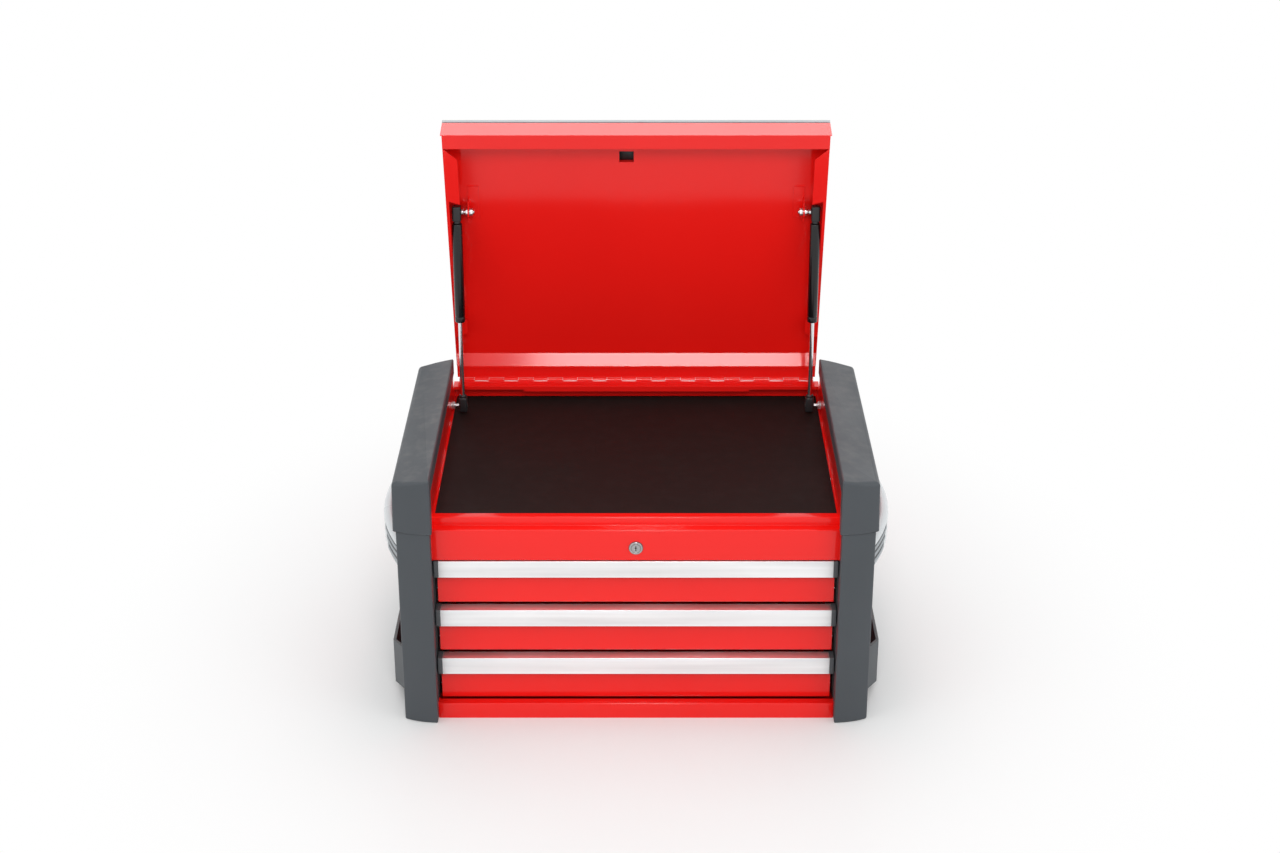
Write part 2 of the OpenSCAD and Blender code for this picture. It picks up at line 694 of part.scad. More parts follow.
module lid_cover() color("#8d9296") on_lid() difference() {
    half = cap_x - play;
    base = -lid_rise - sheet;
    groove = 3;                                 // shadow groove between the cover and the steel
    wall = moulding;
    across(2 * half) polygon(rounded([
        [lid_tail + 2, base], [lid_l - 4, base], [lid_l - 4, base - groove],
        [lid_l, base - groove], [lid_l, base - cover_t], [lid_tail, base - cover_t],
        [lid_tail, base - groove]], [0, 0, 0, 0, 3, 0, 0]));
    both_sides() block([half - 4, lid_tail - 1, base - groove], [half + 1, lid_l + 1, base + 1]);
    // the tray on top of the cover
    block([-half + 16, lid_tail + 16, base - cover_t - 1],
        [half - 16, lid_l - 16, base - cover_t + 2]);
    // hollows between the ribs
    ribs = floor((2 * half - 2 * 16) / cover_ribs);
    bay = (2 * half - 2 * 16) / ribs;
    for (i = [0 : ribs - 1])
        block([-half + 16 + i * bay + wall / 2, lid_tail + 16, base - cover_t + 2 + wall],
            [-half + 16 + (i + 1) * bay - wall / 2, lid_l - 16, base + 1]);
    pocket() block([-1, -1, -1] * (pocket_wall + play),
        [pocket_w, pocket_l, pocket_depth] + [1, 1, 1] * (pocket_wall + play));
}

// ---------------------------------------------------------------- gas struts

stud_thread = 6;
stud_nut = 10;
stud_tip = strut_x - socket_d / 2 - sliding;    // the upper stud stops short of its socket

module strut_bracket(side) color(red) on_lid() on_side(side) difference() {
    foot_y = pivot_along - 17;
    union() {
        block([bracket_x - bracket_t / 2 - 14, foot_y, -lid_rise],
            [bracket_x + bracket_t / 2, foot_y + 52, -lid_rise + 1.5]);
        block([bracket_x - bracket_t / 2, foot_y, -lid_rise],
            [bracket_x + bracket_t / 2, foot_y + 34, 0]);
        translate([0, pivot_along, 0]) bar_x(18, bracket_x - bracket_t / 2, bracket_x + bracket_t / 2);
    }
    translate([0, pivot_along, 0]) bar_x(stud_thread + 2 * running, bracket_x - 5, bracket_x + 5);
}

// A ball stud along X: thread, flange, neck and head
module lid_studs() color(zinc) both_sides() translate([0, top_pivot_y, top_pivot_z]) {
    right = bracket_x + bracket_t / 2;
    left = bracket_x - bracket_t / 2;
    bar_x(stud_thread, left - 7, right + 1);
    nut_x(stud_nut, left - 5, left);
    nut_x(9, right, right + 3);
    bar_x(stud_thread - 1, right + 1, stud_tip - 2);
    translate([stud_tip - stud_d * 0.35, 0, 0]) intersection() {
        rotate([0, 90, 0]) sphere(d = stud_d);
        block([-stud_d, -stud_d, -stud_d], [stud_d * 0.35, stud_d, stud_d]);
    }
}

module cabinet_studs() color(zinc) both_sides() translate([0, pivot_y, pivot_z]) {
    bar_x(stud_d, strut_x - 2, strut_x + 5);
    bar_x(stud_thread - 1, strut_x + 4, inner - 4);
    nut_x(11, inner - 5, inner);
    bar_x(stud_thread, inner - 1, post_x + 7);
    nut_x(stud_nut, post_x, post_x + 5);
}

// The strut's own frame: z from the lower pivot to the upper one
module on_strut() translate([strut_x, pivot_y, pivot_z]) rotate([strut_turn, 0, 0]) children();

module strut_rod(side) color("#e4e6e8") on_side(side) on_strut() {
    top = tube_low + guide_l + 10;
    translate([0, 0, 8]) cylinder(d = rod_d - 1.5, h = socket_l - 8);
    translate([0, 0, socket_l]) cylinder(d = rod_d, h = top - socket_l);
    translate([0, 0, top]) cylinder(d = tube_d - 3, h = piston_l);
}

// The head of a socket about its pivot, and the neck towards the strut's middle
module socket_body() {
    bar_x(socket_d, -socket_d / 2, socket_d / 2);
    cylinder(d = socket_d - 2, h = socket_l);
}

module rod_socket(side) color(black) on_side(side) on_strut() difference() {
    socket_body();
    bar_x(stud_d + 2 * running, -2 - sliding, socket_d);
    translate([0, 0, 8]) cylinder(d = rod_d - 1.5 + 2 * running, h = socket_l);
}

module strut_tube(side) color(black) on_side(side) on_strut() difference() {
    union() {
        translate([0, 0, tube_low]) cylinder(d = tube_d, h = tube_l);
        translate([0, 0, tube_low + tube_l]) cylinder(d = rod_d, h = 8);
    }
    translate([0, 0, tube_low - 1]) cylinder(d = rod_d + 2 * running, h = tube_l / 2);
    translate([0, 0, tube_low + guide_l]) cylinder(d = tube_d - 3 + 2 * running, h = tube_l - guide_l - 5);
}

module tube_socket(side) color(black) on_side(side) on_strut() difference() {
    translate([0, 0, strut_l]) rotate([180, 0, 0]) socket_body();
    translate([0, 0, tube_low + tube_l - 1]) cylinder(d = rod_d + 2 * running, h = 9 + running);
}

// ---------------------------------------------------------------- lock

plug_l = 24;
shaft_d = 6;
crank_y = back_in - 13;                         // front face of the crank
crank_t = 3;
bar_y0 = crank_y + crank_t + play;              // front face of the locking bar
bar_t = 2;
pin_reach = crank_reach * cos(45);
bar_x0 = -pin_reach - bar_w / 2 - 3;            // left edge of the locking bar
crank_pin_d = 4;

module lock_housing() color(zinc) translate([0, 0, lock_z]) difference() {
    union() {
        translate([0, steel_y, 0]) rotate([90, 0, 0]) cylinder(d1 = lock_d, d2 = lock_d - 3, h = 2);
        bar_y(barrel_d, steel_y, steel_y + plug_l - 2);
    }
    bar_y(plug_d + 2 * running, steel_y - 3, steel_y + plug_l);
}

module lock_nut() color(zinc) translate([0, 0, lock_z]) difference() {
    translate([0, steel_y + sheet, 0]) rotate([-90, 0, 0])
        cylinder(d = 20 / cos(30), h = 4, $fn = 6);
    bar_y(barrel_d + 2 * running, steel_y, steel_y + 6);
}

module lock_plug() color("#a9adb1") translate([0, 0, lock_z]) difference() {
    bar_y(plug_d, steel_y - 1.5, steel_y - 1.5 + plug_l);
    block([-0.7, steel_y - 2, -4], [0.7, steel_y + 12, 3.2]);
    block([-1.6, steel_y - 2, -1.2], [1.6, steel_y + 12, 0.4]);
}

// The shaft from the plug to the rear, with the crank that lifts the locking bar
module lock_shaft() color(zinc) translate([0, 0, lock_z]) {
    bar_y(shaft_d, steel_y - 1.5 + plug_l, back_in - 1 - sliding);
    bar_y(11, crank_y, crank_y + crank_t);
    rotate([0, -45, 0]) block([-crank_reach, crank_y, -3.5], [0, crank_y + crank_t, 3.5]);
    translate([-pin_reach, 0, -pin_reach]) {
        bar_y(8, crank_y, crank_y + crank_t);
        bar_y(crank_pin_d, crank_y, bar_y0 + bar_t + 1);
    }
}

// The bar behind the drawers, with a catch behind each of them
module locking_bar() color(zinc) {
    top = lock_z - pin_reach + 8;
    slot_h = crank_pin_d + 1.2;
    catch_h = 6;
    difference() {
        block([bar_x0, bar_y0, 20], [bar_x0 + bar_w, bar_y0 + bar_t, top]);
        block([-crank_reach - crank_pin_d / 2 - play, bar_y0 - 1, lock_z - pin_reach - slot_h / 2],
            [-pin_reach + crank_pin_d / 2 + play, bar_y0 + bar_t + 1,
            lock_z - pin_reach + slot_h / 2]);
    }
    for (n = [1 : drawers])
        block([bar_x0, panel_y + drawer_l + play, drawer_z(n) + 40],
            [bar_x0 + bar_w, bar_y0, drawer_z(n) + 40 + catch_h]);
}

module guide_block(z, h) translate([0, 0, z]) linear_extrude(h) difference() {
    front = bar_y0 - sliding - 1.5;
    translate([bar_x0 - 3, front]) square([bar_w + 6, back_in - front]);
    translate([bar_x0 - sliding, bar_y0 - sliding])
        square([bar_w + 2 * sliding, bar_t + 2 * sliding]);
}

// Two blocks that the bar slides in, and the bush at the end of the shaft
module bar_guides() color(black) {
    guide_block(drawer_z(drawers) + 14, 10);
    guide_block(drawer_z(1) + 6, 10);
    translate([0, 0, lock_z]) difference() {
        bar_y(12, back_in - 5, back_in);
        bar_y(shaft_d + 2 * running, back_in - 6, back_in - 1);
    }
}

// ---------------------------------------------------------------- one solid group per name

side_panel(-1);  // side_panel_left
side_panel(1);  // side_panel_right
back_panel();
bottom_panel();
front_fascia();
bottom_rail();
compartment_floor();
compartment_mat();
corner_posts(-1);  // corner_posts_left
corner_posts(1);  // corner_posts_right
bumper_cap(-1);  // bumper_cap_left
bumper_cap(1);  // bumper_cap_right
side_handle(-1);  // side_handle_left
side_handle(1);  // side_handle_right
side_tray(-1);  // side_tray_left
side_tray(1);  // side_tray_right
side_screws();
cabinet_slides();
hinge_leaf_lower();
hinge_pin();
cabinet_rivets();
cabinet_studs();
lock_housing();
lock_nut();
bar_guides();
lock_plug();
lock_shaft();
locking_bar();
lid_shell();
lid_cover();
strut_bracket(-1);  // strut_bracket_left
strut_bracket(1);  // strut_bracket_right
lid_studs();
hinge_leaf_upper();
lid_rivets();
strut_rod(-1);  // strut_rod_left
strut_rod(1);  // strut_rod_right
rod_socket(-1);  // rod_socket_left
rod_socket(1);  // rod_socket_right
strut_tube(-1);  // strut_tube_left
strut_tube(1);  // strut_tube_right
tube_socket(-1);  // tube_socket_left
tube_socket(1);  // tube_socket_right
drawer_box(1);  // drawer_1_box
drawer_grip(1);  // drawer_1_grip
grip_caps(1);  // drawer_1_grip_caps
drawer_slides(1);  // drawer_1_slides
middle_slides(1);  // drawer_1_middle_slides
drawer_box(2);  // drawer_2_box
drawer_grip(2);  // drawer_2_grip
grip_caps(2);  // drawer_2_grip_caps
drawer_slides(2);  // drawer_2_slides
middle_slides(2);  // drawer_2_middle_slides
drawer_box(3);  // drawer_3_box
drawer_grip(3);  // drawer_3_grip
grip_caps(3);  // drawer_3_grip_caps
drawer_slides(3);  // drawer_3_slides
middle_slides(3);  // drawer_3_middle_slides
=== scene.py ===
"""Looks of the portable tool chest, laid over its fixed frame.

Shapes are worked out in millimetres in the frame's axes and become metres when a mesh is made:
+X is the right side, +Y the rear, +Z up, and the chest stands on Z = 0 with its lid open.
"""
import json
import math

import bpy
import numpy as np
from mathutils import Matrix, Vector

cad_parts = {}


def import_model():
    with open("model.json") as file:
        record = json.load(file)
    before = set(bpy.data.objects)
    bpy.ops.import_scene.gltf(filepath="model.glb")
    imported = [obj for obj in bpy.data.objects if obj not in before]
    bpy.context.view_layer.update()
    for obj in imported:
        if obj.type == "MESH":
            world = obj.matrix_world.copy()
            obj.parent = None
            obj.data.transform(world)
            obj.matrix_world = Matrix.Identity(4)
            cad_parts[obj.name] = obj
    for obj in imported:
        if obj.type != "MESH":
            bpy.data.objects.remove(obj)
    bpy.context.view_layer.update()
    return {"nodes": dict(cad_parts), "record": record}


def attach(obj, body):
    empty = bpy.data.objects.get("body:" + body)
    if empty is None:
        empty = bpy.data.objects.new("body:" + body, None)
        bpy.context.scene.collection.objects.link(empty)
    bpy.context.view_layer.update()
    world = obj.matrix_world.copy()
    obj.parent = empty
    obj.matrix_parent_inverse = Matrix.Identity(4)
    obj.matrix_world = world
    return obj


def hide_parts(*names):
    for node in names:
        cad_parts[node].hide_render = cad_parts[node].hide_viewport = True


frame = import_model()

# ---------------------------------------------------------------- sizes shared with the frame

FRONT = -233.351            # front of the bumpers
MID = -23.351               # middle of the bumpers, front to rear
LENGTH = 420.0              # length of the bumpers
STEEL = FRONT + 16.0        # front of the steel
INNER = 277.0               # inner faces of the side panels
CAP_X, CAP_W, CAP_TOP, CAP_FALL, CAP_FOOT = 275.5, 52.0, 379.0, 7.0, 300.0
POST_X, POST_W, POST_L = 278.0, 47.0, 70.0
PIN = np.array([215.6487, 332.1])          # lid hinge, Y and Z
LEAN = math.radians(11.5)
LID_L = 432.7               # length of the lid from its pin
STRUT_X, STRUT_Y, STRUT_Z, STRUT_L = 260.0, 146.3487, 320.1, 302.2328
STRUT_TURN = math.radians(-1.95055)
DRAWER_Z = {1: 178.7, 2: 102.1, 3: 25.5}
LOCK_Z = 271.0
SLIDE_Z = 30.0              # middle of a slide, from the foot of its drawer

# ---------------------------------------------------------------- surfaces


def fillet(corners, radii, steps=6):
    """A closed outline whose corners become arcs.

    An arc starts and ends at radius / tan(half the corner's angle) from its corner, and its points
    are the circular mean of the two end radii about the centre on the corner's bisector.
    """
    b = np.asarray(corners, float)
    r = np.maximum(np.broadcast_to(np.asarray(radii, float), len(b)), 0.02)[:, None]
    back, on = np.roll(b, 1, 0) - b, np.roll(b, -1, 0) - b
    back /= np.linalg.norm(back, axis=1, keepdims=True)
    on /= np.linalg.norm(on, axis=1, keepdims=True)
    half = np.arccos(np.clip((back * on).sum(1), -1, 1))[:, None] / 2
    bisector = (back + on) / np.linalg.norm(back + on, axis=1, keepdims=True)
    centre = b + bisector * r / np.sin(half)
    start = (b + back * r / np.tan(half) - centre)[:, None, :]
    end = (b + on * r / np.tan(half) - centre)[:, None, :]
    turn = (np.pi - 2 * half)[:, :, None]
    w = np.linspace(0, 1, steps + 1)[None, :, None]
    arcs = (np.sin((1 - w) * turn) * start + np.sin(w * turn) * end) / np.sin(turn)
    return (centre[:, None, :] + arcs).reshape(-1, 2)


def corner(a, b, c, r, steps=6):
    """The arc of radius r in the corner b between a and c."""
    return fillet([a, b, c], [0.02, r, 0.02], steps)[steps + 1:2 * steps + 2]


def outward(p):
    """Outward unit normals of a closed anticlockwise outline: the sum of its two unit sides at
    each point, turned by a right angle."""
    before, after = p - np.roll(p, 1, 0), np.roll(p, -1, 0) - p
    along = (before / np.linalg.norm(before, axis=1, keepdims=True)
             + after / np.linalg.norm(after, axis=1, keepdims=True))
    n = np.stack([along[:, 1], -along[:, 0]], 1)
    return n / np.linalg.norm(n, axis=1, keepdims=True)


def skin(rings, ends=(True, True)):
    """A surface through a stack of closed rings, with flat ends where asked.

    Point (i, j) of the grid is joined to (i, j + 1) and (i + 1, j), and j closes on itself.
    """
    m, n = rings.shape[:2]
    i, j = np.meshgrid(np.arange(m - 1), np.arange(n), indexing="ij")
    k = (j + 1) % n
    faces = np.stack([i * n + j, i * n + k, (i + 1) * n + k, (i + 1) * n + j], -1)
    faces = faces.reshape(-1, 4).tolist()
    if ends[0]:
        faces.append(list(range(n))[::-1])
    if ends[1]:
        faces.append(list(range((m - 1) * n, m * n)))
    return rings.reshape(-1, 3), faces


def slab(outline, low, high, r_low=0.5, r_high=0.5, steps=4, ends=(True, True)):
    """An outline carried up from low to high, with rounded lower and upper edges.

    At angle a of an edge the outline is drawn in by r (1 - sin a) along its normals and lies
    r (1 - cos a) from the end. low, high and the radii may differ from point to point.
    """
    n = len(outline)
    low, high, r_low, r_high = (np.broadcast_to(np.asarray(v, float), n)[None, :]
                                for v in (low, high, r_low, r_high))
    a = np.linspace(0, np.pi / 2, steps + 1)[:, None]
    inset = np.concatenate([r_low * (1 - np.sin(a)), r_high * (1 - np.sin(a[::-1]))])
    z = np.concatenate([low + r_low * (1 - np.cos(a)), high - r_high * (1 - np.cos(a[::-1]))])
    xy = outline[None] - inset[:, :, None] * outward(outline)[None]
    return skin(np.concatenate([xy, z[:, :, None]], -1), ends)


def turned(profile, n=48):
    """A profile of (radius, height) points turned about Z, closed flat at both ends."""
    p = np.asarray(profile, float)
    a = np.linspace(0, 2 * np.pi, n, endpoint=False)
    rings = np.stack([p[:, :1] * np.cos(a), p[:, :1] * np.sin(a),
                      np.broadcast_to(p[:, 1:], (len(p), n))], -1)
    return skin(rings)


def soft_bar(r, low, high, edge=0.6, steps=4):
    """Profile of a round bar from low to high with rounded edges, for turned()."""
    a = np.linspace(0, np.pi / 2, steps + 1)
    return np.concatenate([
        [[0.2 * r, low]],
        np.stack([r - edge * (1 - np.sin(a)), low + edge * (1 - np.cos(a))], 1),
        np.stack([r - edge * (1 - np.sin(a[::-1])), high - edge * (1 - np.cos(a[::-1]))], 1),
        [[0.2 * r, high]]])


def block(low, high, edge=0.4):
    """A box between two corners with softened edges."""
    (x0, y0, z0), (x1, y1, z1) = low, high
    return slab(fillet([[x0, y0], [x1, y0], [x1, y1], [x0, y1]], edge, 2), z0, z1, edge, edge, 2)


def across(profile, x0, x1, edge=0.4, steps=3, ends=(True, True)):
    """A closed outline in Y and Z carried along X, with rounded ends."""
    points, faces = slab(profile, x0, x1, edge, edge, steps, ends)
    return points[:, [2, 0, 1]], faces


def moved(shape, by):
    return shape[0] + np.asarray(by, float), shape[1]


def along_x(shape):
    """Turns what stands along Z so that it lies along X."""
    return shape[0][:, [2, 0, 1]], shape[1]


def along_y(shape):
    """Turns what stands along Z so that it lies along Y."""
    return shape[0][:, [1, 2, 0]], shape[1]


def tilted(shape, angle, about=(0, 0)):
    """Turns a shape by an angle about the X direction through the point (Y, Z)."""
    p = shape[0].copy()
    y, z = p[:, 1] - about[0], p[:, 2] - about[1]
    p[:, 1] = about[0] + y * np.cos(angle) - z * np.sin(angle)
    p[:, 2] = about[1] + y * np.sin(angle) + z * np.cos(angle)
    return p, shape[1]


def on_lid(shape):
    """From the lid's own frame (across, along the lid from its pin, into the chest)."""
    return moved(tilted(shape, math.pi / 2 + LEAN), (0, *PIN))


def on_strut(shape):
    """From a strut's own frame, whose Z runs from the lower to the upper pivot."""
    return moved(tilted(shape, STRUT_TURN), (STRUT_X, STRUT_Y, STRUT_Z))


def mirrored(shape, axis=0, about=0.0):
    """The mirror image across the plane axis = about, with its faces turned back outwards."""
    p = shape[0].copy()
    p[:, axis] = 2 * about - p[:, axis]
    return p, [face[::-1] for face in shape[1]]


def joined(*shapes):
    """Several shapes as one list of points and one of faces."""
    points, faces, start = [], [], 0
    for p, f in shapes:
        points.append(p)
        faces.extend([[v + start for v in face] for face in f])
        start += len(p)
    return np.concatenate(points), faces


# ---------------------------------------------------------------- shared effects


def effect(name, inputs, outputs):
    """An empty node group with the given sockets. Returns it, its maker of nodes, and its ends."""
    group = bpy.data.node_groups.new(name, "ShaderNodeTree")
    for label, kind, value in inputs:
        socket = group.interface.new_socket(label, in_out="INPUT", socket_type="NodeSocket" + kind)
        socket.default_value = value
    for label, kind in outputs:
        group.interface.new_socket(label, in_out="OUTPUT", socket_type="NodeSocket" + kind)
    source = group.nodes.new("NodeGroupInput")
    sink = group.nodes.new("NodeGroupOutput")
    return group, source.outputs, sink.inputs


def add(tree, kind, links=(), **settings):
    """A node of one kind with its settings, its input values and its incoming links."""
    node = tree.nodes.new("ShaderNode" + kind)
    for key, value in settings.items():
        setattr(node, key, value)
    for key, value in dict(links).items():
        socket = node.inputs[key]
        if isinstance(value, bpy.types.NodeSocket):
            tree.links.new(value, socket)
        else:
            socket.default_value = value
    return node


def object_space(tree):
    return add(tree, "TexCoord").outputs["Object"]


def make_grain():
    """Fine pimples of a painted or moulded skin: two noises of different size, as a height."""
    g, given, out = effect("skin_grain", [("Size", "Float", 400.0), ("Soft", "Float", 0.5)],
                           [("Height", "Float")])
    place = object_space(g)
    fine = add(g, "TexNoise", {"Vector": place, "Scale": given["Size"], "Detail": 2.0})
    wide = add(g, "Math", {0: given["Size"], 1: 0.23}, operation="MULTIPLY")
    broad = add(g, "TexNoise", {"Vector": place, "Scale": wide.outputs[0], "Detail": 1.0})
    both = add(g, "Mix", {0: given["Soft"], 2: fine.outputs["Fac"], 3: broad.outputs["Fac"]})
    g.links.new(both.outputs[0], out["Height"])
    return g


def make_handling():
    """Where hands and rags have been: soft clouds crossed by long fine scratches, 0 to 1."""
    g, given, out = effect("handling_marks", [("Size", "Float", 9.0), ("Scratches", "Float", 0.5)],
                           [("Mask", "Float")])
    place = object_space(g)
    cloud = add(g, "TexNoise", {"Vector": place, "Scale": given["Size"], "Detail": 4.0})
    soft = add(g, "MapRange", {0: cloud.outputs["Fac"], 1: 0.42, 2: 0.72})
    turned_place = add(g, "Mapping", {"Vector": place, "Rotation": (0.3, 0.5, 0.8),
                                      "Scale": (260.0, 6.0, 190.0)})
    lines = add(g, "TexNoise", {"Vector": turned_place.outputs[0], "Scale": 1.0, "Detail": 2.0})
    thin = add(g, "MapRange", {0: lines.outputs["Fac"], 1: 0.68, 2: 0.74})
    some = add(g, "Math", {0: thin.outputs[0], 1: given["Scratches"]}, operation="MULTIPLY")
    total = add(g, "Math", {0: soft.outputs[0], 1: some.outputs[0]}, operation="MAXIMUM")
    g.links.new(total.outputs[0], out["Mask"])
    return g


def make_drift():
    """Two close shades of one colour that drift into each other over the surface."""
    g, given, out = effect("shade_drift", [("Shade A", "Color", (1, 1, 1, 1)),
                                           ("Shade B", "Color", (1, 1, 1, 1)),
                                           ("Size", "Float", 6.0)], [("Color", "Color")])
    noise = add(g, "TexNoise", {"Vector": object_space(g), "Scale": given["Size"], "Detail": 3.0})
    spread = add(g, "MapRange", {0: noise.outputs["Fac"], 1: 0.3, 2: 0.7})
    mix = add(g, "Mix", {0: spread.outputs[0], 6: given["Shade A"], 7: given["Shade B"]},
              data_type="RGBA")
    g.links.new(mix.outputs[2], out["Color"])
    return g


def make_brushing():
    """Fine lines drawn along X, as on brushed or extruded metal: noise squeezed across them."""
    g, given, out = effect("drawn_lines",
                           [("Length", "Float", 12.0), ("Fineness", "Float", 2600.0)],
                           [("Height", "Float"), ("Streaks", "Float")])
    size = add(g, "CombineXYZ", {0: given["Length"], 1: given["Fineness"], 2: given["Fineness"]})
    place = add(g, "VectorMath", {0: object_space(g), 1: size.outputs[0]}, operation="MULTIPLY")
    lines = add(g, "TexNoise", {"Vector": place.outputs[0], "Scale": 1.0, "Detail": 3.0})
    broad_size = add(g, "VectorMath", {0: place.outputs[0], 1: (0.5, 0.06, 0.06)},
                     operation="MULTIPLY")
    broad = add(g, "TexNoise", {"Vector": broad_size.outputs[0], "Scale": 1.0, "Detail": 2.0})
    g.links.new(lines.outputs["Fac"], out["Height"])
    g.links.new(broad.outputs["Fac"], out["Streaks"])
    return g


def make_dust():
    """Dust that settles on what faces up: the upward part of the normal times a patchy noise."""
    g, given, out = effect("settled_dust", [("Amount", "Float", 0.1)], [("Mask", "Float")])
    normal = add(g, "SeparateXYZ", {0: add(g, "NewGeometry").outputs["Normal"]})
    up = add(g, "MapRange", {0: normal.outputs[2], 1: 0.55, 2: 1.0})
    noise = add(g, "TexNoise", {"Vector": object_space(g), "Scale": 60.0, "Detail": 6.0})
    patch = add(g, "MapRange", {0: noise.outputs["Fac"], 1: 0.45, 2: 0.8})
    mask = add(g, "Math", {0: up.outputs[0], 1: patch.outputs[0]}, operation="MULTIPLY")
    some = add(g, "Math", {0: mask.outputs[0], 1: given["Amount"]}, operation="MULTIPLY")
    g.links.new(some.outputs[0], out["Mask"])
    return g


GRAIN, HANDLING, DRIFT, BRUSHING, DUST = (make() for make in (
    make_grain, make_handling, make_drift, make_brushing, make_dust))


def use(tree, group, values=()):
    """Places a shared effect in a material with its own values."""
    node = tree.nodes.new("ShaderNodeGroup")
    node.node_tree = group
    for key, value in dict(values).items():
        node.inputs[key].default_value = value
    return node.outputs


def finish(name, shade_a, shade_b, rough, rough_marked, metal=0.0, coat=0.0, coat_rough=0.1,
           grain=(400.0, 0.5, 0.02), marks=(9.0, 0.5), drift=6.0, dust=0.05, specular=0.5,
           edge=0.0006, drawn=None):
    """A material: drifting colour with settled dust, roughness that rises where it was handled,
    grain or drawn lines as a bump, and softened edges of the given radius in metres."""
    m = bpy.data.materials.new(name)
    m.use_nodes = True
    t = m.node_tree
    shader = t.nodes["Principled BSDF"]
    shader.inputs["Metallic"].default_value = metal
    shader.inputs["Coat Weight"].default_value = coat
    shader.inputs["Coat Roughness"].default_value = coat_rough
    shader.inputs["Specular IOR Level"].default_value = specular
    colour = use(t, DRIFT, {"Shade A": (*shade_a, 1), "Shade B": (*shade_b, 1), "Size": drift})[0]
    dusty = add(t, "Mix", {0: use(t, DUST, {"Amount": dust})[0], 6: colour,
                           7: (0.46, 0.43, 0.39, 1)}, data_type="RGBA")
    marked = use(t, HANDLING, {"Size": marks[0], "Scratches": marks[1]})[0]
    roughness = add(t, "MapRange", {0: marked, 1: 0.0, 2: 1.0, 3: rough, 4: rough_marked})
    if drawn:
        length, fineness, strength = drawn
        lines = use(t, BRUSHING, {"Length": length, "Fineness": fineness})
        height, distance = lines[0], 0.00002 * strength
        streaked = add(t, "MapRange", {0: lines[1], 1: 0.3, 2: 0.7, 3: 0.90, 4: 1.06})
        tinted = add(t, "VectorMath", {0: dusty.outputs[2], 3: streaked.outputs[0]},
                     operation="SCALE")
        base = tinted.outputs[0]
    else:
        size, soft, strength = grain
        height, distance = use(t, GRAIN, {"Size": size, "Soft": soft})[0], 0.001 * strength
        base = dusty.outputs[2]
    rounded = add(t, "Bevel", {"Radius": edge}, samples=4)
    bump = add(t, "Bump", {"Strength": 1.0, "Distance": distance, "Height": height,
                           "Normal": rounded.outputs[0]})
    t.links.new(base, shader.inputs["Base Color"])
    t.links.new(roughness.outputs[0], shader.inputs["Roughness"])
    t.links.new(bump.outputs[0], shader.inputs["Normal"])
    return m


red = finish("red_paint", (0.86, 0.009, 0.006), (0.81, 0.007, 0.005), 0.34, 0.40, coat=0.7,
             coat_rough=0.10, grain=(700.0, 0.5, 0.005), dust=0.0, edge=0.0006, specular=0.08,
             drift=3.0)
bumper = finish("bumper_plastic", (0.066, 0.074, 0.083), (0.060, 0.068, 0.076), 0.40, 0.52,
                grain=(1500.0, 0.25, 0.10), dust=0.10, specular=0.3, edge=0.0012)
cover = finish("cover_plastic", (0.36, 0.39, 0.41), (0.33, 0.36, 0.38), 0.42, 0.55,
               grain=(1400.0, 0.3, 0.08), dust=0.05, edge=0.001)
mat = finish("anti_slip_mat", (0.011, 0.0065, 0.006), (0.013, 0.0078, 0.007), 0.64, 0.72,
             grain=(900.0, 0.3, 0.2), dust=0.006, specular=0.12, edge=0.0006, drift=2.5)
handle = finish("handle_plastic", (0.67, 0.70, 0.72), (0.63, 0.66, 0.68), 0.22, 0.34, coat=0.4,
                coat_rough=0.1, grain=(600.0, 0.5, 0.02), dust=0.04, edge=0.0008)
tray = finish("tray_paint", (0.075, 0.085, 0.092), (0.066, 0.075, 0.082), 0.38, 0.5,
              grain=(1100.0, 0.5, 0.03), dust=0.1, edge=0.0006)
aluminium = finish("grip_aluminium", (0.91, 0.915, 0.92), (0.88, 0.885, 0.89), 0.46, 0.52,
                   metal=1.0, dust=0.0, edge=0.0004, drawn=(6.0, 1500.0, 0.4))
grip_plastic = finish("grip_cap_plastic", (0.062, 0.068, 0.074), (0.055, 0.060, 0.066), 0.5, 0.6,
                      grain=(1500.0, 0.3, 0.08), dust=0.06, edge=0.0008)
zinc = finish("zinc_steel", (0.66, 0.67, 0.68), (0.56, 0.57, 0.58), 0.3, 0.44, metal=1.0,
              dust=0.0, edge=0.0003, drawn=(30.0, 900.0, 0.6))
lock_metal = finish("lock_chrome", (0.46, 0.46, 0.46), (0.38, 0.38, 0.38), 0.16, 0.28, metal=1.0,
                    grain=(2200.0, 0.5, 0.01), dust=0.0, edge=0.0004)
black_plastic = finish("black_plastic", (0.012, 0.012, 0.013), (0.017, 0.017, 0.018), 0.36, 0.5,
                       grain=(1600.0, 0.3, 0.05), dust=0.08, edge=0.0006)
strut_black = finish("strut_black", (0.003, 0.003, 0.0035), (0.0045, 0.0045, 0.005), 0.2, 0.3,
                     coat=0.2, grain=(1200.0, 0.5, 0.01), dust=0.01, edge=0.0003, specular=0.35)
rod_chrome = finish("rod_chrome", (0.83, 0.84, 0.86), (0.78, 0.79, 0.81), 0.08, 0.2, metal=1.0,
                    dust=0.0, grain=(3000.0, 0.5, 0.002), edge=0.0003)

FINISHES = {"red_paint": red, "bumper_plastic": bumper, "cover_plastic": cover,
            "anti_slip_mat": mat, "handle": handle, "tray_paint": tray,
            "grip_aluminium": aluminium, "grip_cap_plastic": grip_plastic, "zinc_steel": zinc,
            "lock_chrome": lock_metal, "black_plastic": black_plastic,
            "strut_black": strut_black, "rod_chrome": rod_chrome}

SLOTS = {part["node"]: part["material_slot"] for part in frame["record"]["subparts"]}
for node, thing in frame["nodes"].items():
    for slot in thing.material_slots:
        slot.link = "OBJECT"
        slot.material = FINISHES[SLOTS[node]]

# ---------------------------------------------------------------- making a piece


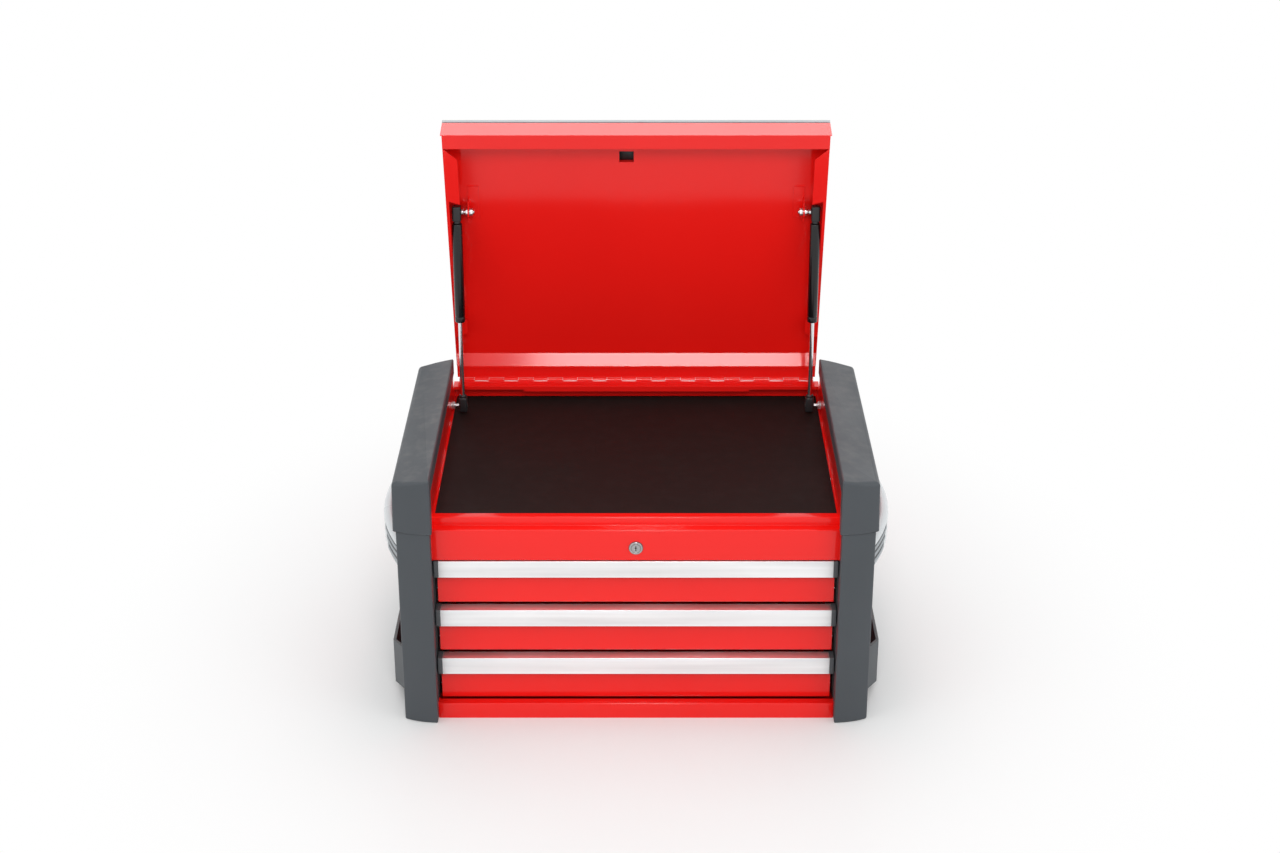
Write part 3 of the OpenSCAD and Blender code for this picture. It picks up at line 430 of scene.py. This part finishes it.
def piece(name, shape, body, slot, hides=(), sharp=38.0):
    """A mesh object at the origin, which rides on a body and wears a slot's finish."""
    points, faces = shape
    mesh = bpy.data.meshes.new(name)
    mesh.from_pydata((points * 0.001).tolist(), [], faces)
    mesh.validate()
    mesh.polygons.foreach_set("use_smooth", np.ones(len(mesh.polygons), bool))
    mesh.set_sharp_from_angle(angle=math.radians(sharp))
    mesh.materials.append(FINISHES[slot])
    thing = bpy.data.objects.new(name, mesh)
    bpy.context.scene.collection.objects.link(thing)
    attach(thing, body)
    if hides:
        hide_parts(*hides)
    return thing


def pair(name, shape, body, slot, node="", **more):
    """The same piece on the right side and mirrored on the left one."""
    for side, form in (("right", shape), ("left", mirrored(shape))):
        piece(name + "_" + side, form, body.replace("SIDE", side), slot,
              hides=[node + "_" + side] if node else (), **more)


# ---------------------------------------------------------------- bumpers


def arc_front(w, length, setback, r_inner, r_outer, steps=12):
    """Plan of the front half of a bumper: an arc from the inner corner, set back at the outer
    one, whose circle touches the front line at the inner corner."""
    r = (w * w + setback * setback) / (2 * setback)
    x = np.linspace(2 * r_inner, w - 0.9 * r_outer, steps)
    arc = np.stack([x, r - np.sqrt(r * r - x * x)], 1)
    inner = corner([0, length], [0, 0], arc[0], r_inner)
    outer = corner(arc[-1], [w, setback], [w, length], r_outer)
    return np.concatenate([inner, arc, outer])


def front_post():
    """A corner post: its plan carried up, with a rounded foot and a fine edge under the cap."""
    w, length = POST_W, POST_L - 1.5
    plan = np.concatenate([arc_front(w, length, 11.5, 1.2, 4.0),
                           corner([w, 0], [w, length], [0, length], 2.0),
                           corner([w, length], [0, length], [0, 0], 1.0)])
    return moved(slab(plan, 0.0, CAP_FOOT, 3.0, 0.6, 5), (POST_X, FRONT + 1.5, 0))


post = front_post()
pair("bumper_posts", joined(post, mirrored(post, 1, MID)), "cabinet", "bumper_plastic",
     node="corner_posts")


def cap_shell():
    """The cap on a side: its plan carried up from a lower edge that steps from the feet to the
    skirt, and rounded into a top that falls outwards in a straight line. Below its shoulder it
    widens outwards by up to 1.5, with the square of the place across it."""
    half = arc_front(CAP_W, LENGTH / 2, 12.0, 2.6, 5.0)
    near = np.array([12.5, 15.95, 16.05, 30.0, 66.0, 69.9, 70.1, 71.0, 72.5, 75.0, 78.0, 100.0,
                     160.0])
    inner_side = np.stack([np.zeros(len(near)), near], 1)[::-1]
    outer_side = np.stack([np.full(len(near) - 3, CAP_W), near[3:]], 1)
    front = np.concatenate([inner_side, half, outer_side])
    rear = np.stack([front[::-1, 0], LENGTH - front[::-1, 1]], 1)
    plan = np.concatenate([front, rear])
    x, y = plan.T
    depth = np.minimum(y, LENGTH - y)
    arch = np.clip((depth - 70.0) / 8.0, 0, 1)
    low = CAP_FOOT + 36.0 * np.sqrt(1 - (1 - arch) ** 2)
    inside = (x < 2.3) & (y > 16.0)
    low = np.where(inside, 358.0, low)
    radius = 2.5 + 4.0 * np.clip(x / CAP_W * 1.4, 0, 1)
    top = CAP_TOP - CAP_FALL * x / CAP_W
    points, faces = slab(plan, low, top, 0.0, radius, 6, ends=(False, True))
    points[:, 0] += 1.5 * np.clip((358.0 - points[:, 2]) / 58.0, 0, 1) * (points[:, 0] / CAP_W) ** 2
    return points, faces


def cap_feet():
    """The plates that close the feet of a cap towards its middle."""
    plate = block([2.6, 70.0, 300.2], [CAP_W - 1.5, 73.0, 340.0], 0.3)
    return joined(plate, mirrored(plate, 1, LENGTH / 2))


def thickened(thing, wall):
    """Gives an open skin its wall, inwards."""
    solid = thing.modifiers.new("wall", "SOLIDIFY")
    solid.thickness = wall
    solid.offset = -1.0
    solid.use_even_offset = False


place = (CAP_X, FRONT, 0)
shell, feet = moved(cap_shell(), place), moved(cap_feet(), place)
for side, turn in (("right", lambda s: s), ("left", mirrored)):
    thickened(piece("bumper_cap_shell_" + side, turn(shell), "cabinet", "bumper_plastic",
                    hides=["bumper_cap_" + side]), 0.0014)
    piece("bumper_cap_plates_" + side, turn(feet), "cabinet", "bumper_plastic")

# ---------------------------------------------------------------- side handles and their screws

BOW_X, BOW_R, BOW_T, BOW_Z, BOW_H = 13.0, 349.4, 16.0, 212.0, 43.0
SIDE_X = POST_X + POST_W


def bow(section, steps):
    """A section of a handle carried along its bow, from depth inwards and height.

    A point of depth q runs on a circle of radius R - q about the bow's centre and ends where
    that circle meets the plane of the posts, at the angle whose cosine is (plane - centre) / r.
    """
    r = BOW_R - section[:, 0]
    end = np.arccos((SIDE_X - BOW_X) / r)
    u = np.sin(np.linspace(-1, 1, steps) * np.pi / 2)[:, None]
    a = u * end[None, :]
    z = np.broadcast_to(BOW_Z + section[:, 1], a.shape)
    return skin(np.stack([BOW_X + r * np.cos(a), MID + r * np.sin(a), z], -1))


def bow_shell():
    """The glossy shell: a bar whose foot is softly rounded and whose top is nearly half
    round."""
    outline = [[0.0, 0.0], [BOW_T, 0.0], [BOW_T, BOW_H], [0.0, BOW_H]]
    return bow(fillet(outline, [6.8, 4.8, 7.9, 7.9], 8), 96)


def band_on_bow(low, high, rise, swell=0.0, steps=60):
    """A band on the outer face of a handle, near its front end, between two heights.

    It stands out from the bow's radius by rise plus swell times the sine over its height. Its
    start slants from 17.5 degrees at the foot of the bow to 12.5 at the top, and it ends at the
    post.
    """
    z = np.linspace(low, high, 24)
    front = rise + swell * np.sin(np.pi * (z - low) / (high - low)) ** 0.7
    front[[0, -1]] = -0.3
    height = np.concatenate([z, z[::-1]])
    out = np.concatenate([front, np.full(24, -1.0)])
    start = np.radians(17.5 - 5.0 * (height - 7.0) / 30.0)
    u = np.linspace(0, 1, steps)[:, None]
    r = BOW_R + np.where(out > 0, out * np.clip(u / 0.03, 0.1, 1), out)
    end = np.arccos((SIDE_X - BOW_X) / r)
    a = start + (end - start) * u
    z = np.broadcast_to(BOW_Z + height, a.shape)
    return skin(np.stack([BOW_X + r * np.cos(a), MID - r * np.sin(a), z], -1))


def recess(thing, cutters):
    """Takes the cutters out of a piece and keeps the result as its mesh."""
    points, faces = cutters
    mesh = bpy.data.meshes.new("cutter")
    mesh.from_pydata((points * 0.001).tolist(), [], faces)
    tool = bpy.data.objects.new("cutter", mesh)
    bpy.context.scene.collection.objects.link(tool)
    cut = thing.modifiers.new("cut", "BOOLEAN")
    cut.operation, cut.solver, cut.object = "DIFFERENCE", "EXACT", tool
    result = bpy.data.meshes.new_from_object(
        thing.evaluated_get(bpy.context.evaluated_depsgraph_get()))
    thing.modifiers.clear()
    thing.data = result
    bpy.data.objects.remove(tool)


SCREWS = [(MID + side * (LENGTH / 2 - 64.0), z) for side in (-1, 1) for z in (223.0, 244.0)]


def screw_wells():
    """Round wells for the four screws of a handle."""
    well = along_x(turned(soft_bar(5.4, SIDE_X + 3.0, SIDE_X + 20.0, 0.2), 40))
    return joined(*(moved(well, (0, y, z)) for y, z in SCREWS))


def screw_head(r=4.9, rise=2.0, n=48):
    """A pan head along X: its height falls as rise sqrt(1 - (d / r)^4) with the distance d from
    the axis, less a cross recess that is 1.5 deep where both arms of the cross are wide."""
    d = np.linspace(0.0, 1.0, 26)[:, None] * r
    a = np.linspace(0, 2 * np.pi, n, endpoint=False)[None, :]
    y, z = d * np.cos(a), d * np.sin(a)
    arm = np.minimum(np.maximum(np.abs(y) - 0.62, np.abs(z) - 2.5),
                     np.maximum(np.abs(z) - 0.62, np.abs(y) - 2.5))
    x = rise * np.sqrt(1 - np.minimum(d / r, 0.999) ** 4) + 0 * a - 1.5 * np.clip(-arm / 0.22, 0, 1)
    rings = np.stack([x, y, z], -1)
    foot = np.stack([np.zeros(n), r * np.cos(a[0]), r * np.sin(a[0])], -1)[None]
    rings = np.concatenate([rings[1:], foot])
    points, faces = skin(rings)
    return points, [face[::-1] for face in faces]


def side_screws():
    """The screws of a handle, in their wells, and those of a tray."""
    head = screw_head()
    wells = [moved(head, (SIDE_X + 3.0, y, z)) for y, z in SCREWS]
    y, z = (FRONT + LENGTH * np.array([0.25, 0.5, 0.75])), 72.5
    return joined(*wells, *(moved(head, (POST_X + 1.0, k, z)) for k in y))


for side, fit in (("right", lambda shape: shape), ("left", mirrored)):
    recess(piece("handle_shell_" + side, fit(bow_shell()), "cabinet", "handle",
                 hides=["side_handle_" + side]), fit(screw_wells()))
cover_band = band_on_bow(7.0, 37.0, 0.2)
ribs = joined(*(band_on_bow(k + 2.2, k + 7.8, 0.3, 0.8) for k in (7.0, 17.0, 27.0)))
pair("handle_cover", joined(cover_band, mirrored(cover_band, 1, MID)), "cabinet",
     "grip_cap_plastic")
pair("handle_ribs", joined(ribs, mirrored(ribs, 1, MID)), "cabinet", "cover_plastic")
heads = side_screws()
piece("side_screw_heads", joined(heads, mirrored(heads)), "cabinet", "zinc_steel",
      hides=["side_screws"])

# ---------------------------------------------------------------- folded sheet of the front


def folded_sheet(path, wall=1.0, r=0.9, steps=5):
    """Closed outline, in depth and height, of a sheet bent along a path.

    The second face runs one wall to the right of the path, shifted at a fold by the sum of the
    two unit normals over one plus their product. A fold has the radius r on its hollow side and
    r plus the wall on its other side.
    """
    p = np.asarray(path, float)
    d = np.diff(p, axis=0)
    d /= np.linalg.norm(d, axis=1, keepdims=True)
    right = np.stack([d[:, 1], -d[:, 0]], 1)
    before, after = np.concatenate([right[:1], right]), np.concatenate([right, right[-1:]])
    shift = wall * (before + after) / (1 + (before * after).sum(1))[:, None]
    turn = np.concatenate([[0], d[:-1, 0] * d[1:, 1] - d[:-1, 1] * d[1:, 0], [0]])
    near = np.where(turn == 0, 0.2, np.where(turn < 0, r + wall, r))
    far = np.where(turn == 0, 0.2, np.where(turn < 0, r, r + wall))
    return fillet(np.concatenate([p + shift, p[::-1]]), np.concatenate([far, near[::-1]]), steps)


FASCIA_Z, LEDGE_Z, LIP_Z = 251.5, 298.0, 310.5
STEP_Y, LIP_Y = STEEL + 14.5, STEEL + 28.0

front = folded_sheet([[STEEL + 13.0, FASCIA_Z], [STEEL, FASCIA_Z], [STEEL, LEDGE_Z],
                      [STEP_Y, LEDGE_Z], [STEP_Y, LIP_Z], [LIP_Y, LIP_Z], [LIP_Y, LIP_Z - 4.4]])
hole = along_y(turned(soft_bar(8.05, -2.0, 3.0, 0.1), 64))
recess(piece("fascia_folded", across(front, -INNER, INNER, 0.1, 2), "cabinet", "red_paint",
             hides=["front_fascia"]), moved(hole, (0, STEEL, LOCK_Z)))
edge = block([INNER, STEEL, FASCIA_Z], [INNER + 1.0, STEEL + 1.0, LEDGE_Z], 0.15)
piece("fascia_edges", joined(edge, mirrored(edge)), "cabinet", "red_paint")

rail = folded_sheet([[STEEL, 0.0], [STEEL, 24.0], [STEEL + 14.0, 24.0], [STEEL + 14.0, 16.0]])
piece("bottom_rail_folded", across(rail, -INNER, INNER, 0.1, 2), "cabinet", "red_paint",
      hides=["bottom_rail"])

# ---------------------------------------------------------------- hinge


def rivet_heads():
    """Six low domed heads in a row, each the cap of a sphere."""
    a = np.linspace(0, np.pi / 2, 6)
    dome = turned(np.stack([3.5 * np.cos(a) + 0.05, 0.28 * np.sin(a)], 1), 20)
    return joined(*(moved(dome, (k * 90.0, 0, 0)) for k in np.arange(-2.5, 3)))


def hinge_glint_bars(first):
    """Painted highlight on the hinge: bright metal bars beside the other leaf's knuckles that stand
    in for the dashes of highlight there; every second of 24 steps of 22.5, a thin bar along X with
    rounded ends."""
    bar = along_x(turned(soft_bar(0.75, 0.8, 21.7, 0.6, 3), 12))
    return joined(*(moved(bar, (k * 22.5, 4.6, 0.55)) for k in range(first - 12, 12, 2)))


piece("hinge_rivets_low", moved(rivet_heads(), (0, PIN[0] - 12.0, PIN[1] - 0.3)), "cabinet",
      "red_paint")
piece("hinge_rivets_high", on_lid(moved(rivet_heads(), (0, 15.0, -0.3))), "lid", "red_paint")
# bright bars that paint the highlight dashes along the hinge
piece("hinge_edges_low", moved(tilted(hinge_glint_bars(1), math.pi), (0, *PIN)), "cabinet",
      "grip_aluminium")

# ---------------------------------------------------------------- gaps beside the drawers


def gap_shade_plates():
    """Painted shade in the gaps beside the drawers: black plates on the front edge and the inner
    face of a side panel, and one across the gap in front of the slides, that stand in for the deep
    shade of these gaps."""
    y, low, high = STEEL + 16.0, 24.3, FASCIA_Z - 0.3
    shade_x, wall = INNER - 0.38, INNER - 0.03
    return joined(block([shade_x, y - 0.6, low], [INNER + 0.95, y + 0.98, high], 0.2),
                  block([shade_x, y + 0.6, low], [wall, y + 14.6, high], 0.1),
                  block([INNER - 1.35, y + 12.6, low], [wall, y + 14.6, high], 0.2))


# these black plates paint the shade in the gaps beside the drawers
pair("panel_edge_trim", gap_shade_plates(), "cabinet", "black_plastic")
# black plates on the slides paint the shade in the gaps beside the drawers
for n, z in DRAWER_Z.items():
    slide_shade = block([INNER - 3.05, STEEL + 30.2, z + SLIDE_Z - 15.4],
                 [INNER - 1.6, STEEL + 31.2, z + SLIDE_Z + 15.4], 0.3)
    piece("slide_stops_%d" % n, joined(slide_shade, mirrored(slide_shade)), "slides_%d" % n, "black_plastic")

# ---------------------------------------------------------------- pocket in the lid


def pocket_shade_plates():
    """Painted shade inside the lid's pocket: thin black plates on its rear face and its upper
    walls, standing in for the shade there.
    """
    x0, x1, s0, s1, deep, mouth = -23.95, -3.45, LID_L - 62.45, LID_L - 45.05, -20.95, -14.1
    return joined(block([x0, s0, deep], [x1, s1, deep + 0.3], 0.05),
                  block([x0, s1 - 0.4, deep], [x1, s1, mouth], 0.05),
                  block([x0, s0, deep], [x0 + 0.3, s1, mouth], 0.05),
                  block([x1 - 0.3, s0, deep], [x1, s1, mouth], 0.05))


# black plates that paint the shade inside the lid's pocket
piece("lid_pocket_liner", on_lid(pocket_shade_plates()), "lid", "black_plastic")

# ---------------------------------------------------------------- gas struts and their studs


def socket(reach, neck):
    """A moulded strut end about its pivot: a rounded square bar that reaches past the pivot, with
    a round collar at its neck and the bulge that clips over the ball."""
    half = 6.3
    square = fillet([[-half, -half], [half, -half], [half, half], [-half, half]], 2.6, 5)
    body = slab(square, -reach, neck - 4.0, 1.6, 1.0, 4)
    collar = turned(soft_bar(5.6, neck - 5.0, neck - 0.2, 0.8))
    bulge = along_x(turned(soft_bar(5.0, -6.9, -5.9, 0.5)))
    return joined(body, collar, bulge)


TUBE_LOW, TUBE_HIGH, TUBE_R = STRUT_L - 17.0 - 152.0, STRUT_L - 17.0, 7.45


def strut_tube():
    """The pressure tube: a round bar with a rolled groove near the rod and rounded shoulders."""
    a = np.linspace(0, np.pi / 2, 6)
    low = np.stack([TUBE_R - 1.6 * (1 - np.sin(a)), TUBE_LOW + 1.6 * (1 - np.cos(a))], 1)
    groove = np.stack([TUBE_R - 0.5 * np.sin(np.linspace(0, np.pi, 7)) ** 2,
                       TUBE_LOW + np.linspace(7.0, 10.5, 7)], 1)
    high = np.stack([TUBE_R - 2.2 * (1 - np.sin(a[::-1])),
                     TUBE_HIGH - 2.2 * (1 - np.cos(a[::-1]))], 1)
    profile = np.concatenate([[[3.31, TUBE_LOW + 0.6], [4.2, TUBE_LOW]], low, groove, high,
                              [[2.0, TUBE_HIGH]]])
    return turned(profile, 64)


pair("strut_end_low", on_strut(socket(9.0, 17.0)), "strut_rod_SIDE", "black_plastic",
     node="rod_socket")
pair("strut_end_high", on_strut(moved(mirrored(socket(9.0, 17.0), 2), (0, 0, STRUT_L))),
     "strut_tube_SIDE", "black_plastic", node="tube_socket")
pair("strut_pressure_tube", on_strut(strut_tube()), "strut_tube_SIDE", "strut_black",
     node="strut_tube")


def nut(flats, x0, x1):
    """A hexagon nut along X with rounded corners and chamfered faces."""
    a = np.radians(np.arange(6) * 60.0 + 30.0)
    hexagon = np.stack([np.cos(a), np.sin(a)], 1) * flats / 2 / math.cos(math.pi / 6)
    return along_x(slab(fillet(hexagon, 0.5, 3), x0, x1, 0.5, 0.5, 3))


def ball(radius, n=32):
    """A sphere with a flat towards +X, as rings of radius r sin a at height -r cos a."""
    a = np.linspace(0.12, 2.1, 14)
    return along_x(turned(np.stack([radius * np.sin(a), -radius * np.cos(a)], 1), n))


def thread(r, low, high, pitch=1.0):
    """A threaded bar: its radius swings between crest and root once per pitch."""
    h = np.linspace(low, high, int((high - low) / pitch * 6) + 1)
    r = r - 0.28 * (0.5 + 0.5 * np.cos(2 * np.pi * h / pitch))
    r[-2:] -= 0.5
    return along_x(turned(np.concatenate([[[0.4, low]], np.stack([r, h], 1), [[0.4, high]]]), 28))


def upper_stud():
    """The ball stud on the lid's bracket: nuts on both sides of the plate, neck and ball."""
    plate, half = 242.5, 1.0
    low, high = plate - half, plate + half
    tip = STRUT_X - 6.8
    return joined(mirrored(thread(2.9, -low + 4.6, -low + 7.0), 0),
                  nut(10.0, low - 5.0, low - 0.9),
                  along_x(turned(soft_bar(6.2, low - 0.9, low, 0.3))),
                  nut(9.0, high, high + 3.0),
                  along_x(turned(soft_bar(2.5, high + 2.5, tip - 2.0, 0.2))),
                  moved(ball(4.0), (tip - 1.6, 0, 0)))


def lower_stud():
    """The stud through the side panel: ball, neck, collar, panel, and nut outside."""
    return joined(along_x(turned(soft_bar(4.0, STRUT_X - 2.0, STRUT_X + 5.0, 0.6))),
                  along_x(turned(soft_bar(2.5, STRUT_X + 4.0, INNER - 4.0, 0.2))),
                  nut(11.0, INNER - 5.0, INNER - 0.9),
                  along_x(turned(soft_bar(6.6, INNER - 0.9, INNER, 0.3))),
                  along_x(turned(soft_bar(2.95, INNER - 1.0, INNER + 1.0, 0.1))),
                  nut(10.0, POST_X, POST_X + 4.9), thread(2.9, POST_X + 4.8, POST_X + 8.0))


stud = on_lid(moved(upper_stud(), (0, 296.0, 0)))
piece("lid_studs_turned", joined(stud, mirrored(stud)), "lid", "zinc_steel", hides=["lid_studs"])
stud = moved(lower_stud(), (0, STRUT_Y, STRUT_Z))
piece("cabinet_studs_turned", joined(stud, mirrored(stud)), "cabinet", "zinc_steel",
      hides=["cabinet_studs"])

# ---------------------------------------------------------------- lock


def lock_ring():
    """The lock's flange: a round ring with a rolled outer edge that sinks to a shadow groove."""
    a = np.linspace(0, np.pi / 2, 7)
    profile = np.concatenate([[[7.9, 22.0], [7.9, 0.05], [9.45, 0.0], [9.45, -0.9]],
                              np.stack([8.55 + 0.9 * np.cos(a), -0.9 - 1.05 * np.sin(a)], 1),
                              [[7.0, -1.95], [6.6, -1.3], [6.1, -1.2], [6.05, 21.5]]])
    n = 64
    w = np.linspace(0, 2 * np.pi, n, endpoint=False)
    rings = np.stack([profile[:, :1] * np.cos(w), profile[:, :1] * np.sin(w),
                      np.broadcast_to(profile[:, 1:], (len(profile), n))], -1)
    rings = np.concatenate([rings, rings[:1]])
    points, faces = skin(rings, (False, False))
    return along_y((points, [f[::-1] for f in faces]))


piece("lock_flange", moved(lock_ring(), (0, STEEL, LOCK_Z)), "cabinet", "lock_chrome",
      hides=["lock_housing"])

# A thin black ring round the lock's flange: painted shade standing in for the shadow gap round the
# lock.
shade_rim = along_y(turned([[9.3, -0.4], [9.7, -0.4], [9.9, -0.25], [9.9, 0.0], [9.3, 0.0]], 64))


def slot_shade_blocks():
    """Painted shade in the key slot: black blocks just behind the plug's face, standing in for the
    shade deep in the slot.
    """
    return joined(block([-0.68, -1.3, -3.9], [0.68, 0.5, 3.1], 0.05),
                  block([-1.56, -1.3, -1.1], [1.56, 0.5, 0.3], 0.05))


# the black ring paints the shadow gap round the lock
piece("lock_seal", moved(shade_rim, (0, STEEL, LOCK_Z)), "cabinet", "black_plastic")
# black blocks that paint the shade in the key slot
piece("key_slot_fill", moved(slot_shade_blocks(), (0, STEEL, LOCK_Z)), "lock", "black_plastic")

# ---------------------------------------------------------------- grips


def grip_section():
    """The extruded grip in depth and height from its lower front edge: a slightly bowed face,
    rounded over into a flat top whose rear edge hooks down behind the drawer's front."""
    z = np.linspace(1.2, 23.0, 9)
    bow = 0.5 - 0.5 * np.sin(np.pi * (z - 1.2) / 21.8)
    face = np.stack([bow * 0.7, z], 1)
    over = corner([0.35, 12.0], [0.3, 25.3], [12.0, 25.3], 1.0, 6)
    shape = [[21.0, 25.3], [21.0, 23.3], [16.8, 23.3], [16.8, 13.3], [15.2, 13.3], [15.2, 23.3],
             [13.8, 23.3], [13.8, 15.3], [12.2, 15.3], [12.2, 23.3], [2.0, 23.3], [2.0, 2.5],
             [4.5, 1.5], [4.5, 0.3]]
    hook = fillet(shape, [0.5, 0.3] + [0.15] * 8 + [1.2, 0.8, 0.5, 0.4], 3)
    foot = corner([4.5, 0.0], [0.1, 0.0], [0.3, 3.0], 0.6, 4)
    return np.concatenate([face, over, hook, foot])[::-1]


def grip_end():
    """The plastic end of a grip, a hair larger all round than its section, with soft edges."""
    shape = [[-0.0, 0.0], [13.8, 0.0], [13.8, 23.3], [21.0, 23.3], [21.0, 25.3], [0.0, 25.3]]
    return fillet(shape, [0.8, 0.4, 0.3, 0.5, 0.5, 1.3], 5)


for n, z in DRAWER_Z.items():
    place = (0, STEEL + 2.0, z + 45.0)
    half = INNER - 0.5 - 6.5
    piece("grip_rail_%d" % n, moved(across(grip_section(), -half, half, 0.15, 2), place),
          "drawer_%d" % n, "grip_aluminium", hides=["drawer_%d_grip" % n])
    end = moved(across(grip_end(), half, half + 6.5, 0.8, 4), place)
    piece("grip_ends_%d" % n, joined(end, mirrored(end)), "drawer_%d" % n, "grip_cap_plastic",
          hides=["drawer_%d_grip_caps" % n])

# ---------------------------------------------------------------- room, lights and camera


def room():
    """A pale floor that stays white to the camera and keeps the chest's shadow."""
    mesh = bpy.data.meshes.new("floor")
    s = 30.0
    mesh.from_pydata([(-s, -s, 0), (s, -s, 0), (s, s, 0), (-s, s, 0)], [], [(0, 1, 2, 3)])
    floor = bpy.data.objects.new("floor", mesh)
    bpy.context.scene.collection.objects.link(floor)
    m = bpy.data.materials.new("floor_white")
    m.use_nodes = True
    t = m.node_tree
    shader = t.nodes["Principled BSDF"]
    shader.inputs["Base Color"].default_value = (0.82, 0.82, 0.82, 1)
    shader.inputs["Roughness"].default_value = 0.7
    shader.inputs["Specular IOR Level"].default_value = 0.1
    path = add(t, "LightPath")
    seen = add(t, "Math", {0: path.outputs["Is Camera Ray"], 1: path.outputs["Is Glossy Ray"]},
               operation="MAXIMUM")
    away = add(t, "VectorMath", {0: object_space(t), 1: (1.0, 0.8, 0.0)}, operation="MULTIPLY")
    reach = add(t, "VectorMath", {0: away.outputs[0]}, operation="LENGTH")
    own = add(t, "MapRange", {0: reach.outputs["Value"], 1: 0.30, 2: 0.85, 3: 0.05, 4: 1.0},
              interpolation_type="SMOOTHSTEP")
    share = add(t, "Math", {0: seen.outputs[0], 1: own.outputs[0]}, operation="MULTIPLY")
    white = add(t, "Emission", {"Color": (1, 1, 1, 1), "Strength": 1.0})
    mix = add(t, "MixShader", {0: share.outputs[0], 1: shader.outputs[0], 2: white.outputs[0]})
    t.links.new(mix.outputs[0], t.nodes["Material Output"].inputs["Surface"])
    mesh.materials.append(m)


def world():
    """Even light from all round, and plain white where the camera or a gloss looks past."""
    w = bpy.data.worlds.new("studio")
    bpy.context.scene.world = w
    w.use_nodes = True
    t = w.node_tree
    back = t.nodes["Background"]
    back.inputs["Color"].default_value = (1, 1, 1, 1)
    path = add(t, "LightPath")
    sharp = add(t, "Math", {0: path.outputs["Is Glossy Ray"],
                            1: path.outputs["Is Transmission Ray"]}, operation="MAXIMUM")
    seen = add(t, "Math", {0: path.outputs["Is Camera Ray"], 1: sharp.outputs[0]},
               operation="MAXIMUM")
    level = add(t, "MapRange", {0: seen.outputs[0], 1: 0.0, 2: 1.0, 3: 0.64, 4: 1.0})
    t.links.new(level.outputs[0], back.inputs["Strength"])


def soft_light(name, place, aim, size, power):
    """A square lamp at a place, turned to face the aim."""
    lamp = bpy.data.lights.new(name, "AREA")
    lamp.size, lamp.energy = size, power
    thing = bpy.data.objects.new(name, lamp)
    thing.location = place
    thing.rotation_euler = (Vector(aim) - Vector(place)).to_track_quat("-Z", "Y").to_euler()
    bpy.context.scene.collection.objects.link(thing)


room()
world()
soft_light("key", (0.1, -2.75, 2.5), (0, 0.1, 0.3), 0.9, 36.5)
soft_light("fill_left", (-2.6, -1.6, 1.4), (0, 0, 0.25), 2.0, 12.0)
soft_light("fill_right", (2.6, -1.6, 1.4), (0, 0, 0.25), 2.0, 12.0)
soft_light("top", (0.0, 0.3, 3.0), (0, 0, 0.2), 2.6, 20.0)
soft_light("rear", (0.0, 2.5, 2.8), (0, 0, 0.3), 1.6, 20.0)

lens = bpy.data.cameras.new("camera")
lens.lens, lens.sensor_width = 60.33, 36.0
lens.clip_end = 100.0
camera = bpy.data.objects.new("camera", lens)
camera.location = (0.0056, -2.7933, 1.6413)
camera.rotation_euler = (math.radians(65.23), 0, 0)
bpy.context.scene.collection.objects.link(camera)
bpy.context.scene.camera = camera
bpy.context.scene.view_settings.view_transform = "Standard"
